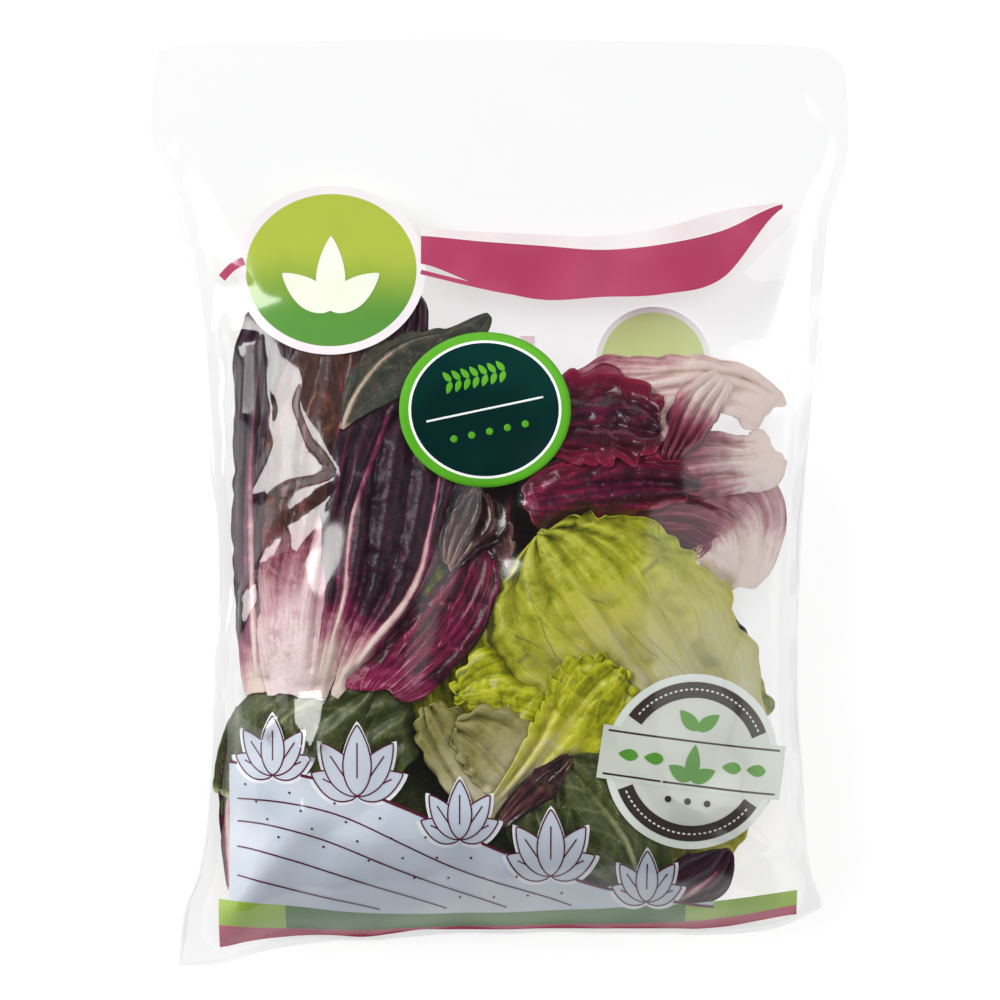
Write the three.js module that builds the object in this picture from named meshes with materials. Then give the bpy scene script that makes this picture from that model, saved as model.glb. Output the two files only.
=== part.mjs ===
// Clear pillow bag of salad leaves, lying on its back with the printed side up.
// Millimetres. +X is the bag's right, +Y its top end, +Z points up through the front film.
// The origin is on the floor, under the middle of the bag's outline.
import * as THREE from "three";

// Film
const RIM_THICKNESS = 0.8; // the two films where they are sealed together
const SIDE_FIN = 6; // flat seam outside the filled body
const END_FIN = 5;
const FLOOR = 0;

// Outline: [distance along the bag, edge], from the bottom end to the top end
const LEFT_EDGE = [
  [-166, -115.5], [-146, -113], [-132, -107.5], [-106, -103.5], [-60, -101], [-20, -100],
  [20, -102.5], [72, -107], [108, -115], [121, -119.5], [131, -125.6], [165, -123],
];
const RIGHT_EDGE = [
  [-166, 118], [-145, 115.5], [-130, 110], [-106, 108.5], [-63, 106], [0, 108],
  [54, 113.5], [90, 117], [104, 118.5], [116, 123], [130, 125.4], [150, 124.6], [166, 123],
];
// Ends: [share of the width from the left, distance along the bag]
const BOTTOM_END = [
  [0, -166.2], [0.07, -165], [0.14, -160], [0.27, -155.8],
  [0.42, -152.4], [0.72, -154], [0.9, -151.6], [1, -144.3],
];
const TOP_END = [
  [0, 163], [0.04, 164.4], [0.35, 166.4], [0.65, 166], [0.93, 164], [0.975, 161.5], [1, 155],
];

// Heights: [distance along the bag, height above the floor]
const SEAM_HEIGHT = [
  [-166, 1.4], [-150, 4], [-125, 13], [-60, 18], [0, 18], [50, 13], [90, 8], [128, 3.4], [166, 0.6],
];
const CREST_HEIGHT = [
  [-166, 48], [-110, 52], [-50, 57], [0, 54], [30, 45], [55, 33], [80, 19.5],
  [100, 11.5], [118, 6.6], [128, 4.6], [134, 4.4], [150, 4], [166, 1.6],
];
const FRONT_REACH = 62; // how far in from a seam the front film climbs
const END_REACH = 46;
const BACK_REACH = 46; // how far in from a seam the back film meets the floor
const BACK_PRESS = 1.2; // over 1, so that the floor flattens the middle of the back film

// Bulges of the larger leaves under the front film: centre, half sizes, height
const BULGES = [
  { at: [50, -47], size: [46, 50], high: 7 }, // the pale green head
  { at: [-56, -15], size: [34, 72], high: 5.5 }, // the long red leaves
  { at: [62, 22], size: [36, 24], high: 7 }, // the red head
  { at: [34, -122], size: [42, 18], high: 3.5 }, // green leaves at the bottom
  { at: [-84, -88], size: [20, 26], high: 3.5 },
];
// Folds of the front film, each a tent along a line; a negative height is a valley
const FOLDS = [
  { from: [-80, 44], to: [-57, 12], high: 4.2, wide: 13 },
  { from: [-57, 12], to: [-92, -12], high: 3.4, wide: 12 },
  { from: [-74, -8], to: [-96, -44], high: 3, wide: 10 },
  { from: [-66, -30], to: [-70, -88], high: 2.6, wide: 12 },
  { from: [3, 6], to: [-24, -66], high: -5, wide: 18 },
  { from: [-108, -160], to: [-70, -112], high: 4.5, wide: 11 },
  { from: [112, -146], to: [82, -104], high: 4.5, wide: 11 },
  { from: [-122, 130], to: [-84, 84], high: 2.6, wide: 11 },
  { from: [121, 124], to: [86, 80], high: 2.6, wide: 11 },
  { from: [30, 96], to: [16, 58], high: 2.2, wide: 12 },
  { from: [-18, -150], to: [-10, -120], high: -3, wide: 10 },
  { from: [40, -150], to: [48, -126], high: -2.6, wide: 9 },
];
// Puckers beside the seams
const PUCKER_PITCH = 27;
const PUCKER_HEIGHT = 2.2;
const PUCKER_WIDTH = 26;
const END_PUCKER_PITCH = 31;

// Round paper label on the front film
const LABEL = { at: [-5.3, 33], halfWidth: 30.3, halfLength: 27.6, gap: 0.6, thick: 0.35 };
const LABEL_RINGS = 6;
const LABEL_SPOKES = 36;

// Mesh density
const CELLS_ACROSS = 44;
const CELLS_ALONG = 56;

// A smooth curve through [position, value] stations, held level past its ends
function through(stations) {
  const last = stations.length - 1;
  const slope = (i) => {
    const a = stations[Math.max(i - 1, 0)];
    const b = stations[Math.min(i + 1, last)];
    return (b[1] - a[1]) / (b[0] - a[0]);
  };
  return (position) => {
    const p = THREE.MathUtils.clamp(position, stations[0][0], stations[last][0]);
    let i = 0;
    while (i < last - 1 && p > stations[i + 1][0]) i++;
    const [p0, v0] = stations[i];
    const [p1, v1] = stations[i + 1];
    const span = p1 - p0;
    const t = (p - p0) / span;
    return (
      v0 * (1 + 2 * t) * (1 - t) ** 2 +
      v1 * t * t * (3 - 2 * t) +
      slope(i) * span * t * (1 - t) ** 2 -
      slope(i + 1) * span * t * t * (1 - t)
    );
  };
}

const leftEdge = through(LEFT_EDGE);
const rightEdge = through(RIGHT_EDGE);
const bottomEnd = through(BOTTOM_END);
const topEnd = through(TOP_END);
const seamHeight = through(SEAM_HEIGHT);
const crestHeight = through(CREST_HEIGHT);

// A place on the bag, from its share of the width and of the length
function placeOf(across, along) {
  const y = THREE.MathUtils.lerp(bottomEnd(across), topEnd(across), along);
  const x = THREE.MathUtils.lerp(leftEdge(y), rightEdge(y), across);
  return [x, y];
}

// The climb of a filled film from its seam: 0 on the fin, 1 once it is in by reach
function climb(distance, fin, reach, fullness) {
  const t = THREE.MathUtils.clamp((distance - fin) / reach, 0, 1);
  return (1 - (1 - t) ** 2) ** fullness;
}

// Distances in from the two side seams and the bottom seam
function insets(x, y) {
  const across = (x - leftEdge(y)) / (rightEdge(y) - leftEdge(y));
  return { left: x - leftEdge(y), right: rightEdge(y) - x, bottom: y - bottomEnd(across) };
}

// A straight-sided tent along a line, fading out past its ends
function tent(x, y, { from, to, high, wide }) {
  const line = [to[0] - from[0], to[1] - from[1]];
  const length2 = line[0] ** 2 + line[1] ** 2;
  const t = THREE.MathUtils.clamp(((x - from[0]) * line[0] + (y - from[1]) * line[1]) / length2, 0, 1);
  const away = Math.hypot(x - from[0] - t * line[0], y - from[1] - t * line[1]);
  return high * Math.max(0, 1 - away / wide);
}

function bulge(x, y, { at, size, high }) {
  return high * Math.exp(-(((x - at[0]) / size[0]) ** 2) - ((y - at[1]) / size[1]) ** 2);
}

// Small waves that run in from the side seams and from the bottom seam
function puckers(x, y, inset) {
  const side = (d) => THREE.MathUtils.smoothstep(d, 0, 8) * Math.exp(-((d / PUCKER_WIDTH) ** 2));
  const body = THREE.MathUtils.smoothstep(y, -140, -110) * (1 - THREE.MathUtils.smoothstep(y, 70, 120));
  const leftWave = Math.sin((2 * Math.PI * (y + 0.3 * x)) / PUCKER_PITCH);
  const rightWave = Math.sin((2 * Math.PI * (y - 0.4 * x + 7)) / PUCKER_PITCH);
  const endWave = Math.sin((2 * Math.PI * (x + 4)) / END_PUCKER_PITCH);
  return (
    PUCKER_HEIGHT * body * (side(inset.left) * leftWave + side(inset.right) * rightWave) +
    PUCKER_HEIGHT * side(inset.bottom) * endWave
  );
}

// How much of the body lies under a place: 0 on the fins and 1 well inside
function filling(inset, reach, fullness) {
  return (
    climb(inset.left, SIDE_FIN, reach, fullness) *
    climb(inset.right, SIDE_FIN, reach, fullness) *
    climb(inset.bottom, END_FIN, END_REACH, fullness)
  );
}

function backHeight(x, y) {
  const pressed = BACK_PRESS * filling(insets(x, y), BACK_REACH, 0.7);
  return Math.max(FLOOR, seamHeight(y) * (1 - pressed) - RIM_THICKNESS / 2);
}

function frontHeight(x, y) {
  const inset = insets(x, y);
  const filled = filling(inset, FRONT_REACH, 0.62);
  const seam = seamHeight(y);
  let z = seam + RIM_THICKNESS / 2 + (crestHeight(y) - seam) * filled;
  for (const b of BULGES) z += filled * bulge(x, y, b);
  for (const f of FOLDS) z += filled ** 0.5 * tent(x, y, f);
  z += puckers(x, y, inset);
  return Math.max(z, backHeight(x, y) + RIM_THICKNESS);
}

// Rows sit closer together near the seams, where the film bends most
const closer = (t, share) => t + (share * Math.sin(2 * Math.PI * (t + 0.5))) / (2 * Math.PI);

// One closed surface: the front film, the back film and the rim between them
function bagGeometry() {
  const columns = CELLS_ACROSS + 1;
  const rows = CELLS_ALONG + 1;
  const positions = [];
  for (const height of [frontHeight, backHeight]) {
    for (let j = 0; j < rows; j++) {
      for (let i = 0; i < columns; i++) {
        const [x, y] = placeOf(closer(i / CELLS_ACROSS, 0.55), closer(j / CELLS_ALONG, 0.4));
        positions.push(x, y, height(x, y));
      }
    }
  }
  const index = [];
  const front = (i, j) => j * columns + i;
  const back = (i, j) => rows * columns + front(i, j);
  const quad = (a, b, c, d) => index.push(a, b, c, a, c, d);
  for (let j = 0; j < CELLS_ALONG; j++) {
    for (let i = 0; i < CELLS_ACROSS; i++) {
      quad(front(i, j), front(i + 1, j), front(i + 1, j + 1), front(i, j + 1));
      quad(back(i, j), back(i, j + 1), back(i + 1, j + 1), back(i + 1, j));
    }
  }
  for (let i = 0; i < CELLS_ACROSS; i++) {
    quad(back(i, 0), back(i + 1, 0), front(i + 1, 0), front(i, 0));
    quad(back(i + 1, CELLS_ALONG), back(i, CELLS_ALONG), front(i, CELLS_ALONG), front(i + 1, CELLS_ALONG));
  }
  for (let j = 0; j < CELLS_ALONG; j++) {
    quad(back(0, j + 1), back(0, j), front(0, j), front(0, j + 1));
    quad(back(CELLS_ACROSS, j), back(CELLS_ACROSS, j + 1), front(CELLS_ACROSS, j + 1), front(CELLS_ACROSS, j));
  }
  return new THREE.BufferGeometry()
    .setAttribute("position", new THREE.Float32BufferAttribute(positions, 3))
    .setIndex(index);
}

// A thin disc that lies along the front film
function labelGeometry() {
  const { at, halfWidth, halfLength, gap, thick } = LABEL;
  const positions = [];
  for (const lift of [gap + thick, gap]) {
    positions.push(at[0], at[1], frontHeight(at[0], at[1]) + lift);
    for (let r = 1; r <= LABEL_RINGS; r++) {
      for (let k = 0; k < LABEL_SPOKES; k++) {
        const angle = (2 * Math.PI * k) / LABEL_SPOKES;
        const x = at[0] + (halfWidth * r * Math.cos(angle)) / LABEL_RINGS;
        const y = at[1] + (halfLength * r * Math.sin(angle)) / LABEL_RINGS;
        positions.push(x, y, frontHeight(x, y) + lift);
      }
    }
  }
  const under = 1 + LABEL_RINGS * LABEL_SPOKES;
  const at2 = (r, k) => 1 + (r - 1) * LABEL_SPOKES + (k % LABEL_SPOKES);
  const index = [];
  const face = (a, b, c) => index.push(a, b, c, under + a, under + c, under + b);
  for (let k = 0; k < LABEL_SPOKES; k++) {
    face(0, at2(1, k), at2(1, k + 1));
    for (let r = 1; r < LABEL_RINGS; r++) {
      face(at2(r, k), at2(r + 1, k), at2(r + 1, k + 1));
      face(at2(r, k), at2(r + 1, k + 1), at2(r, k + 1));
    }
    const a = at2(LABEL_RINGS, k);
    const b = at2(LABEL_RINGS, k + 1);
    index.push(under + a, under + b, b, under + a, b, a);
  }
  return new THREE.BufferGeometry()
    .setAttribute("position", new THREE.Float32BufferAttribute(positions, 3))
    .setIndex(index);
}

function piece(name, geometry, color, roughness) {
  geometry.computeVertexNormals();
  const mesh = new THREE.Mesh(geometry, new THREE.MeshStandardMaterial({ color, roughness, metalness: 0 }));
  mesh.name = name;
  return mesh;
}

const salad = new THREE.Group();
salad.add(piece("bag", bagGeometry(), 0xa9b37e, 0.25));
salad.add(piece("round_label", labelGeometry(), 0x0f4a3c, 0.4));

// The outline's middle goes to the origin
const outline = new THREE.Box3().setFromObject(salad).getCenter(new THREE.Vector3());
salad.position.set(-outline.x, -outline.y, 0);

export default salad;
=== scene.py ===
"""A clear pillow bag of mixed salad leaves, lying on its back and seen from straight above."""
import math
import random

import bmesh
import bpy
import numpy as np
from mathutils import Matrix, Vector, noise
from mathutils.bvhtree import BVHTree


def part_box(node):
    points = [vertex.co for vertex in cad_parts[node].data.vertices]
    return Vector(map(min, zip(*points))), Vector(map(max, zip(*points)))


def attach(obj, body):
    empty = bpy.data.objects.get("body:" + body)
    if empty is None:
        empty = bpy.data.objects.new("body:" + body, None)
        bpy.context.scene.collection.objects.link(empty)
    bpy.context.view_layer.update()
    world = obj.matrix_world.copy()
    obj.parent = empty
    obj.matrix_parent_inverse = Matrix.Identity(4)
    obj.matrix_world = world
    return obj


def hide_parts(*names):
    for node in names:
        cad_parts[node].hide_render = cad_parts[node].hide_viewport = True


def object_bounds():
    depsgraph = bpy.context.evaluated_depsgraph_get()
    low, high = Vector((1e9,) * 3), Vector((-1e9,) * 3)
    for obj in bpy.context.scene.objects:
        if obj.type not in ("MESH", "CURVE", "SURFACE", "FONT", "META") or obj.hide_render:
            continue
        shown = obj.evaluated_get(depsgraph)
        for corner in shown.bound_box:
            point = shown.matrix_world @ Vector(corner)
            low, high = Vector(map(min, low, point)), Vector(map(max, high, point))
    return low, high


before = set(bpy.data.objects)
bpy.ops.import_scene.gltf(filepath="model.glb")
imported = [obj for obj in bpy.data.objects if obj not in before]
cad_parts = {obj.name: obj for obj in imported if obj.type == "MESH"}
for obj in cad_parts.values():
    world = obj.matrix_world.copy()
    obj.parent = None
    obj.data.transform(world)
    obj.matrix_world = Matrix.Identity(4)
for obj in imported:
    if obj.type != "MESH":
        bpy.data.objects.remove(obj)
CAD_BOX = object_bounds()

MM = 0.001
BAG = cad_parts["bag"]

# How far inside the film the leaves and the top layer of print stay
LEAF_CLEARANCE = 1.3 * MM
PRINT_DEPTH = 0.12 * MM

# How far apart the layers of print lie, and the fields of one piece, which rise in turn and start again
LAYER_STEP = 0.12 * MM
TOP_LAYER = 3
FIELD_RISE = 0.012 * MM
FIELDS_HIGH = 5

# How far outside the film the label lies, and what is drawn on it above that
LABEL_TOP = 0.48 * MM
LABEL_INK = 0.08 * MM
LABEL_THICKNESS = 0.3 * MM

# Vertices nearer than this are one vertex
WELD = 0.01 * MM

# Which side of the film a thing lies on
FRONT, BACK = 1, -1


def linear(screen):
    """A screen colour of red, green and blue, each 0 to 255, as Blender's linear colour."""
    return tuple(((c / 255 + 0.055) / 1.055) ** 2.4 if c > 10 else c / 255 / 12.92
                 for c in screen) + (1.0,)


# Shapes as arrays

def through(knots, share):
    """A smooth curve through evenly spaced knots, at each share from 0 to 1."""
    knots = np.array(knots, float)
    if knots.ndim == 1:
        knots = knots[:, None]
    last = len(knots) - 1
    place = np.clip(np.asarray(share, float), 0, 1) * last
    i = np.minimum(place.astype(int), last - 1)
    f = (place - i)[:, None]
    before, a = knots[np.maximum(i - 1, 0)], knots[i]
    b, after = knots[i + 1], knots[np.minimum(i + 2, last)]
    slope_a, slope_b = (b - before) / 2, (after - a) / 2
    value = (a * (1 + 2 * f) * (1 - f) ** 2 + slope_a * f * (1 - f) ** 2
             + b * f * f * (3 - 2 * f) - slope_b * f * f * (1 - f))
    return value[:, 0] if value.shape[1] == 1 else value


def smooth(low, high, value):
    """0 below low, 1 above high, and an even curve between them."""
    t = np.clip((value - low) / (high - low), 0, 1)
    return t * t * (3 - 2 * t)


def lumps(x, y, size, seed):
    """Soft noise over the plan, from about -1 to 1, with lumps of the given size."""
    sheet = seed * 7.31
    return np.array([noise.noise(Vector((a / size, b / size, sheet))) for a, b in zip(x, y)])


def plumb(tree, x, y, side=FRONT):
    """Height where a plumb line from the front or the back first meets a surface, or None."""
    spot = tree.ray_cast(Vector((x, y, side)), Vector((0, 0, -side)))[0]
    return None if spot is None else spot.z


class Ground:
    """Heights over the bag's plan, on a square raster."""

    def __init__(self, step=1.5 * MM):
        low, high = CAD_BOX
        self.step = step
        self.origin = np.array([low.x - step, low.y - step])
        self.shape = (int((high.x - low.x) / step) + 4, int((high.y - low.y) / step) + 4)
        self.heights = np.zeros(self.shape)

    def cells(self, x, y):
        """Where places lie on the raster, in steps."""
        i = np.clip((x - self.origin[0]) / self.step, 0, self.shape[0] - 2.001)
        j = np.clip((y - self.origin[1]) / self.step, 0, self.shape[1] - 2.001)
        return i, j

    def at(self, x, y):
        """Heights at places, blended between the raster's points."""
        i, j = self.cells(x, y)
        a, b = i.astype(int), j.astype(int)
        f, g = i - a, j - b
        h = self.heights
        return ((h[a, b] * (1 - f) + h[a + 1, b] * f) * (1 - g)
                + (h[a, b + 1] * (1 - f) + h[a + 1, b + 1] * f) * g)

    def lower(self, x, y, z):
        """Takes the ground down to z at places where it is higher."""
        i, j = self.cells(x, y)
        np.minimum.at(self.heights, (np.round(i).astype(int), np.round(j).astype(int)), z)

    def blurred(self, passes):
        """The same ground with its bumps smoothed away."""
        soft = Ground(self.step)
        h = self.heights.copy()
        for _ in range(passes):
            h = (sum(np.roll(h, s, axis) for s in (-1, 1) for axis in (0, 1)) + h) / 5
        soft.heights = h
        return soft

    def softened(self, passes):
        """The same ground with its steps spread downwards, so that what lies under them slopes."""
        soft = Ground(self.step)
        h = self.heights.copy()
        for _ in range(passes):
            rims = [np.roll(h, s, axis) for s in (-1, 1) for axis in (0, 1)]
            h = np.minimum(h, (sum(rims) + h) / 5)
        soft.heights = h
        return soft


# Meshes

def new_piece(name, bm, material):
    """A smooth-shaded object made from a bmesh, with its material."""
    mesh = bpy.data.meshes.new(name)
    bm.to_mesh(mesh)
    bm.free()
    mesh.shade_smooth()
    piece = bpy.data.objects.new(name, mesh)
    bpy.context.scene.collection.objects.link(piece)
    mesh.materials.append(material)
    return piece


def finished(piece, node="bag"):
    """The piece on the object's one body, with its CAD node, which others may share, hidden."""
    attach(piece, "root")
    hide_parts(node)
    return piece


def vertex_values(mesh, name):
    """The places or normals of a mesh's vertices, as rows of three."""
    values = np.zeros(len(mesh.vertices) * 3)
    mesh.vertices.foreach_get(name, values)
    return values.reshape(-1, 3)


def keep_values(mesh, name, values):
    """Stores a value for each vertex, for a material to read."""
    layer = mesh.attributes.new(name, "FLOAT", "POINT")
    layer.data.foreach_set("value", np.asarray(values, np.float32))


def with_modifiers(piece):
    """The piece with its modifiers applied."""
    graph = bpy.context.evaluated_depsgraph_get()
    mesh = bpy.data.meshes.new_from_object(piece.evaluated_get(graph))
    piece.modifiers.clear()
    piece.data = mesh
    return piece


def walled(piece, thickness):
    """Gives a thin piece its thickness, on its underside."""
    wall = piece.modifiers.new("wall", "SOLIDIFY")
    wall.thickness = thickness
    wall.offset = -1.0
    wall.use_even_offset = False


def grid(across, along):
    """A flat grid as a bmesh, with each vertex's share of its width, -1 to 1, and length, 0 to 1."""
    bm = bmesh.new()
    bmesh.ops.create_grid(bm, x_segments=across, y_segments=along, size=1)
    flat = np.array([v.co[:2] for v in bm.verts])
    return bm, flat[:, 0], (flat[:, 1] + 1) / 2


def face_up(bm):
    """Turns the faces of a flat piece so that they all face upwards."""
    for face in bm.faces:
        if face.normal.z < 0:
            face.normal_flip()


def placed(bm, points):
    """Moves a grid's vertices to their points."""
    for vertex, point in zip(bm.verts, points):
        vertex.co = point


# Materials

class Finish:
    """A material whose nodes are added by name, with values or links for their sockets."""

    def __init__(self, name):
        self.material = bpy.data.materials.new(name)
        self.material.use_nodes = True
        self.tree = self.material.node_tree
        self.tree.nodes.clear()

    def add(self, kind, sockets=None, output=0, **settings):
        """Adds a node and gives back one of its outputs, or the node where it has none."""
        node = self.tree.nodes.new("ShaderNode" + kind)
        for key, value in settings.items():
            setattr(node, key, value)
        for key, value in (sockets or {}).items():
            socket = next(s for s in node.inputs if key in (s.identifier, s.name) and s.enabled)
            if isinstance(value, bpy.types.NodeSocket):
                self.tree.links.new(value, socket)
            else:
                socket.default_value = value
        if isinstance(output, str):
            return next(s for s in node.outputs if output in (s.identifier, s.name) and s.enabled)
        return node.outputs[output] if len(node.outputs) else node

    def value(self, name):
        """A number that the mesh stores for each vertex."""
        return self.add("Attribute", output="Fac", attribute_name=name)

    def math(self, operation, a, b=0.0, clamp=False):
        """Sums on two values or sockets, with the shorter names below for the common ones."""
        return self.add("Math", {"Value": a, "Value_001": b}, operation=operation, use_clamp=clamp)

    def times(self, a, b):
        return self.math("MULTIPLY", a, b)

    def plus(self, a, b, clamp=False):
        return self.math("ADD", a, b, clamp)

    def minus(self, a, b):
        return self.math("SUBTRACT", a, b)

    def mix(self, share, a, b):
        """The colour a, or b where the share is 1."""
        return self.add("Mix", {"Factor_Float": share, "A_Color": a, "B_Color": b},
                        output="Result_Color", data_type="RGBA")

    def step(self, value, low, high, to_low=0.0, to_high=1.0):
        """An even curve from to_low to to_high as the value goes from low to high."""
        return self.add("MapRange", {"Value": value, "From Min": low, "From Max": high,
                                     "To Min": to_low, "To Max": to_high},
                        interpolation_type="SMOOTHSTEP")

    def noise(self, where, scale, detail=3.0, roughness=0.55, output="Fac"):
        """Soft clouds, about 0.5 on the whole."""
        return self.add("TexNoise", {"Vector": where, "Scale": scale, "Detail": detail,
                                     "Roughness": roughness}, output=output)

    def ridges(self, where, scale, width):
        """Lines between the cells of a web, 1 on a line."""
        away = self.add("TexVoronoi", {"Vector": where, "Scale": scale}, output="Distance",
                        feature="DISTANCE_TO_EDGE", voronoi_dimensions="2D")
        return self.step(away, 0.0, width, 1.0, 0.0)

    def stretched(self, where, across, along):
        """Places on a map with both directions scaled."""
        return self.add("VectorMath", {"Vector": where, "Vector_001": (across, along, 1)},
                        operation="MULTIPLY")

    def ramp(self, value, stops):
        """Colours at shares of the way, blended between them."""
        node = self.tree.nodes.new("ShaderNodeValToRGB")
        for share, _ in stops[2:]:
            node.color_ramp.elements.new(share)
        for element, (share, tint) in zip(node.color_ramp.elements, stops):
            element.position = share
            element.color = linear(tint)
        self.tree.links.new(value, node.inputs["Fac"])
        return node.outputs["Color"]

    def bump(self, height, distance, strength):
        return self.add("Bump", {"Height": height, "Distance": distance, "Strength": strength})

    def surface(self, shader):
        """The finished material, with a shader on its surface."""
        self.add("OutputMaterial", {"Surface": shader})
        return self.material


def film_material():
    """Thin clear film: see-through, with a gloss that grows towards its edges."""
    f = Finish("clear_film")
    facing = f.add("LayerWeight", {"Blend": 0.5}, output="Facing")
    edge = f.math("POWER", facing, 4.0)
    gloss_share = f.plus(f.times(edge, 0.3), 0.065, clamp=True)
    clear = f.add("BsdfTransparent", {"Color": (0.972, 0.973, 0.976, 1)})
    gloss = f.add("BsdfGlossy", {"Color": (1, 1, 1, 1), "Roughness": 0.14})
    return f.surface(f.add("MixShader", {"Fac": gloss_share, "Shader": clear, "Shader_001": gloss}))


def leaf_patterns(f, palette, pale):
    """A leaf's mottling, streaks, web of fine veins and cells.

    The leaf map lies flat on the blade, and the fan map runs out from the base as the veins do.
    """
    where = f.add("UVMap", uv_map="leaf")
    fan = f.add("UVMap", uv_map="fan")
    mottle = f.noise(where, 16.0, 4.0, 0.65)
    streak = f.noise(f.stretched(fan, 5.0, 0.5), 1.0, 2.0)
    drift = f.noise(fan, 0.5, 1.0, output="Color")
    wander = f.add("VectorMath", {"Vector": drift, "Vector_001": (0.6, 0.4, 0.0), "Vector_002": fan},
                   operation="MULTIPLY_ADD")
    web = f.ridges(f.stretched(wander, *palette["web_size"]), 1.0, palette["web_width"])
    web = f.times(web, f.minus(1.0, f.times(pale, 0.8)))
    cells = f.ridges(where, 24.0, 0.16)
    return mottle, streak, web, cells


def leaf_share(f, palette, pale, mottle, streak, web, cells):
    """How far along its ramp a leaf's colour lies, from its dark blade to its pale base and ribs."""
    vein, tone, furrow_shade = (f.value(n) for n in ("vein", "tone", "furrow_shade"))
    rib = f.math("MAXIMUM", f.times(vein, palette["vein"]), pale)
    share = f.plus(f.times(tone, 0.35), rib)
    share = f.plus(share, f.times(f.minus(mottle, 0.5), palette["mottle"]))
    loose = f.plus(f.times(pale, 0.7), 0.3)
    feather = f.times(f.minus(streak, 0.5), palette["streak"])
    share = f.plus(share, f.times(feather, loose))
    # Painted shade: the furrow mask darkens the furrows between blisters.
    share = f.plus(share, f.times(furrow_shade, palette["furrow_shade"]))
    share = f.plus(share, f.times(cells, palette["cells"]))
    return f.plus(share, f.times(web, palette["web"]), clamp=True)


def leaf_material(name, palette, gloss, glow):
    """A leaf's skin, with a little light coming through it."""
    f = Finish(name)
    pale, edge = f.value("pale"), f.value("edge")
    mottle, streak, web, cells = leaf_patterns(f, palette, pale)
    share = leaf_share(f, palette, pale, mottle, streak, web, cells)
    base = f.ramp(share, palette["stops"])
    flecks = f.times(f.step(mottle, 0.54, 0.7), palette["fleck_share"])
    base = f.mix(flecks, base, linear(palette["fleck"]))
    margin = f.times(edge, palette["margin_share"])
    base = f.mix(margin, base, linear(palette["margin"]))
    base = f.mix(f.times(web, palette["line_share"]), base, linear(palette["line"]))
    crinkle = f.plus(streak, f.times(mottle, 1.2))
    height = f.plus(crinkle, f.times(cells, -0.2))
    normal = f.bump(height, 0.35 * MM, 0.7)
    skin = f.add("BsdfPrincipled", {"Base Color": base, "Roughness": gloss, "Normal": normal,
                                    "Specular IOR Level": palette["shine"]})
    through_light = f.add("BsdfTranslucent", {"Color": base})
    return f.surface(f.add("MixShader", {"Fac": glow, "Shader": skin, "Shader_001": through_light}))


def ink_material(name, near, far, low=None, high=None):
    """Ink on the film, with a faint unevenness, or shading from near to far between two heights."""
    f = Finish(name)
    where = f.add("TexCoord", output="Object")
    cloud = f.noise(where, 25.0, 2.0)
    if low is None:
        share = f.step(cloud, 0.35, 0.65)
    else:
        up = f.add("SeparateXYZ", {"Vector": where}, output="Y")
        waver = f.times(f.minus(cloud, 0.5), 0.01)
        share = f.step(f.plus(up, waver), low, high)
    base = f.mix(share, linear(near), linear(far))
    skin = f.add("BsdfPrincipled", {"Base Color": base, "Roughness": 0.5, "Specular IOR Level": 0.08})
    return f.surface(skin)


def floor_material():
    """A matt white table, bright by itself so that it stays white under soft light."""
    f = Finish("white_table")
    grain = f.noise(f.add("TexCoord", output="Object"), 40.0)
    tint = f.mix(grain, (0.38, 0.38, 0.38, 1), (0.4, 0.4, 0.4, 1))
    matt = f.add("BsdfPrincipled", {"Base Color": tint, "Roughness": 0.9, "Specular IOR Level": 0.1,
                                    "Emission Color": (1, 1, 1, 1), "Emission Strength": 0.73})
    return f.surface(matt)


# What a leaf's material reads. vein, mottle, streak, cells and web say how far each pattern moves the
# colour along the ramp of stops, from the dark blade to the pale rib; the furrow mask moves it towards
# the dark end as painted shade in the furrows between blisters. web_size is how densely the fine veins
# lie across and along, and line is their colour. fleck and margin tint spots and edges.
# Colours are screen values of red, green and blue.
PLAIN = {
    "vein": 0.8, "mottle": 0.5, "streak": 0.7, "furrow_shade": 0.0, "cells": 0.0, "web": 0.12, "shine": 0.5,
    "fleck": (0, 0, 0), "fleck_share": 0.0, "margin": (0, 0, 0), "margin_share": 0.0,
    "line": (0, 0, 0), "line_share": 0.0, "web_size": (1.7, 0.42), "web_width": 0.06,
}
RED_LEAF = dict(PLAIN, shine=0.3, stops=(
    (0.0, (34, 16, 28)), (0.22, (62, 24, 44)), (0.42, (132, 30, 78)),
    (0.62, (190, 134, 144)), (0.85, (226, 206, 194))))
BRONZE_LEAF = dict(PLAIN, fleck=(150, 100, 34), fleck_share=0.4, stops=(
    (0.0, (44, 28, 30)), (0.2, (86, 52, 42)), (0.42, (140, 60, 80)),
    (0.62, (198, 148, 156)), (0.95, (234, 214, 212))))
MAGENTA_LEAF = dict(PLAIN, mottle=0.6, streak=1.0, web=0.2, shine=0.36, stops=(
    (0.0, (48, 6, 26)), (0.22, (104, 12, 52)), (0.42, (150, 34, 84)),
    (0.62, (222, 160, 176)), (0.85, (252, 236, 226))))
RUBY_LEAF = dict(MAGENTA_LEAF, mottle=0.9, streak=0.5, web=0.12, shine=0.6,
                 margin=(168, 10, 66), margin_share=0.6, stops=(
    (0.0, (44, 2, 24)), (0.22, (86, 6, 44)), (0.42, (146, 22, 72)),
    (0.62, (196, 110, 136)), (0.85, (236, 200, 200))))
CREAM_LEAF = dict(MAGENTA_LEAF, mottle=0.35, streak=1.0, web=0.05, stops=(
    (0.0, (66, 8, 36)), (0.2, (112, 20, 58)), (0.4, (166, 78, 102)),
    (0.6, (212, 168, 170)), (0.8, (244, 228, 220))))
CURLED_LEAF = dict(PLAIN, fleck=(112, 92, 30), fleck_share=0.4, mottle=0.8, shine=0.7, stops=(
    (0.0, (24, 12, 16)), (0.22, (54, 28, 32)), (0.45, (92, 50, 54)),
    (0.7, (150, 108, 100)), (1.0, (200, 172, 150))))
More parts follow.
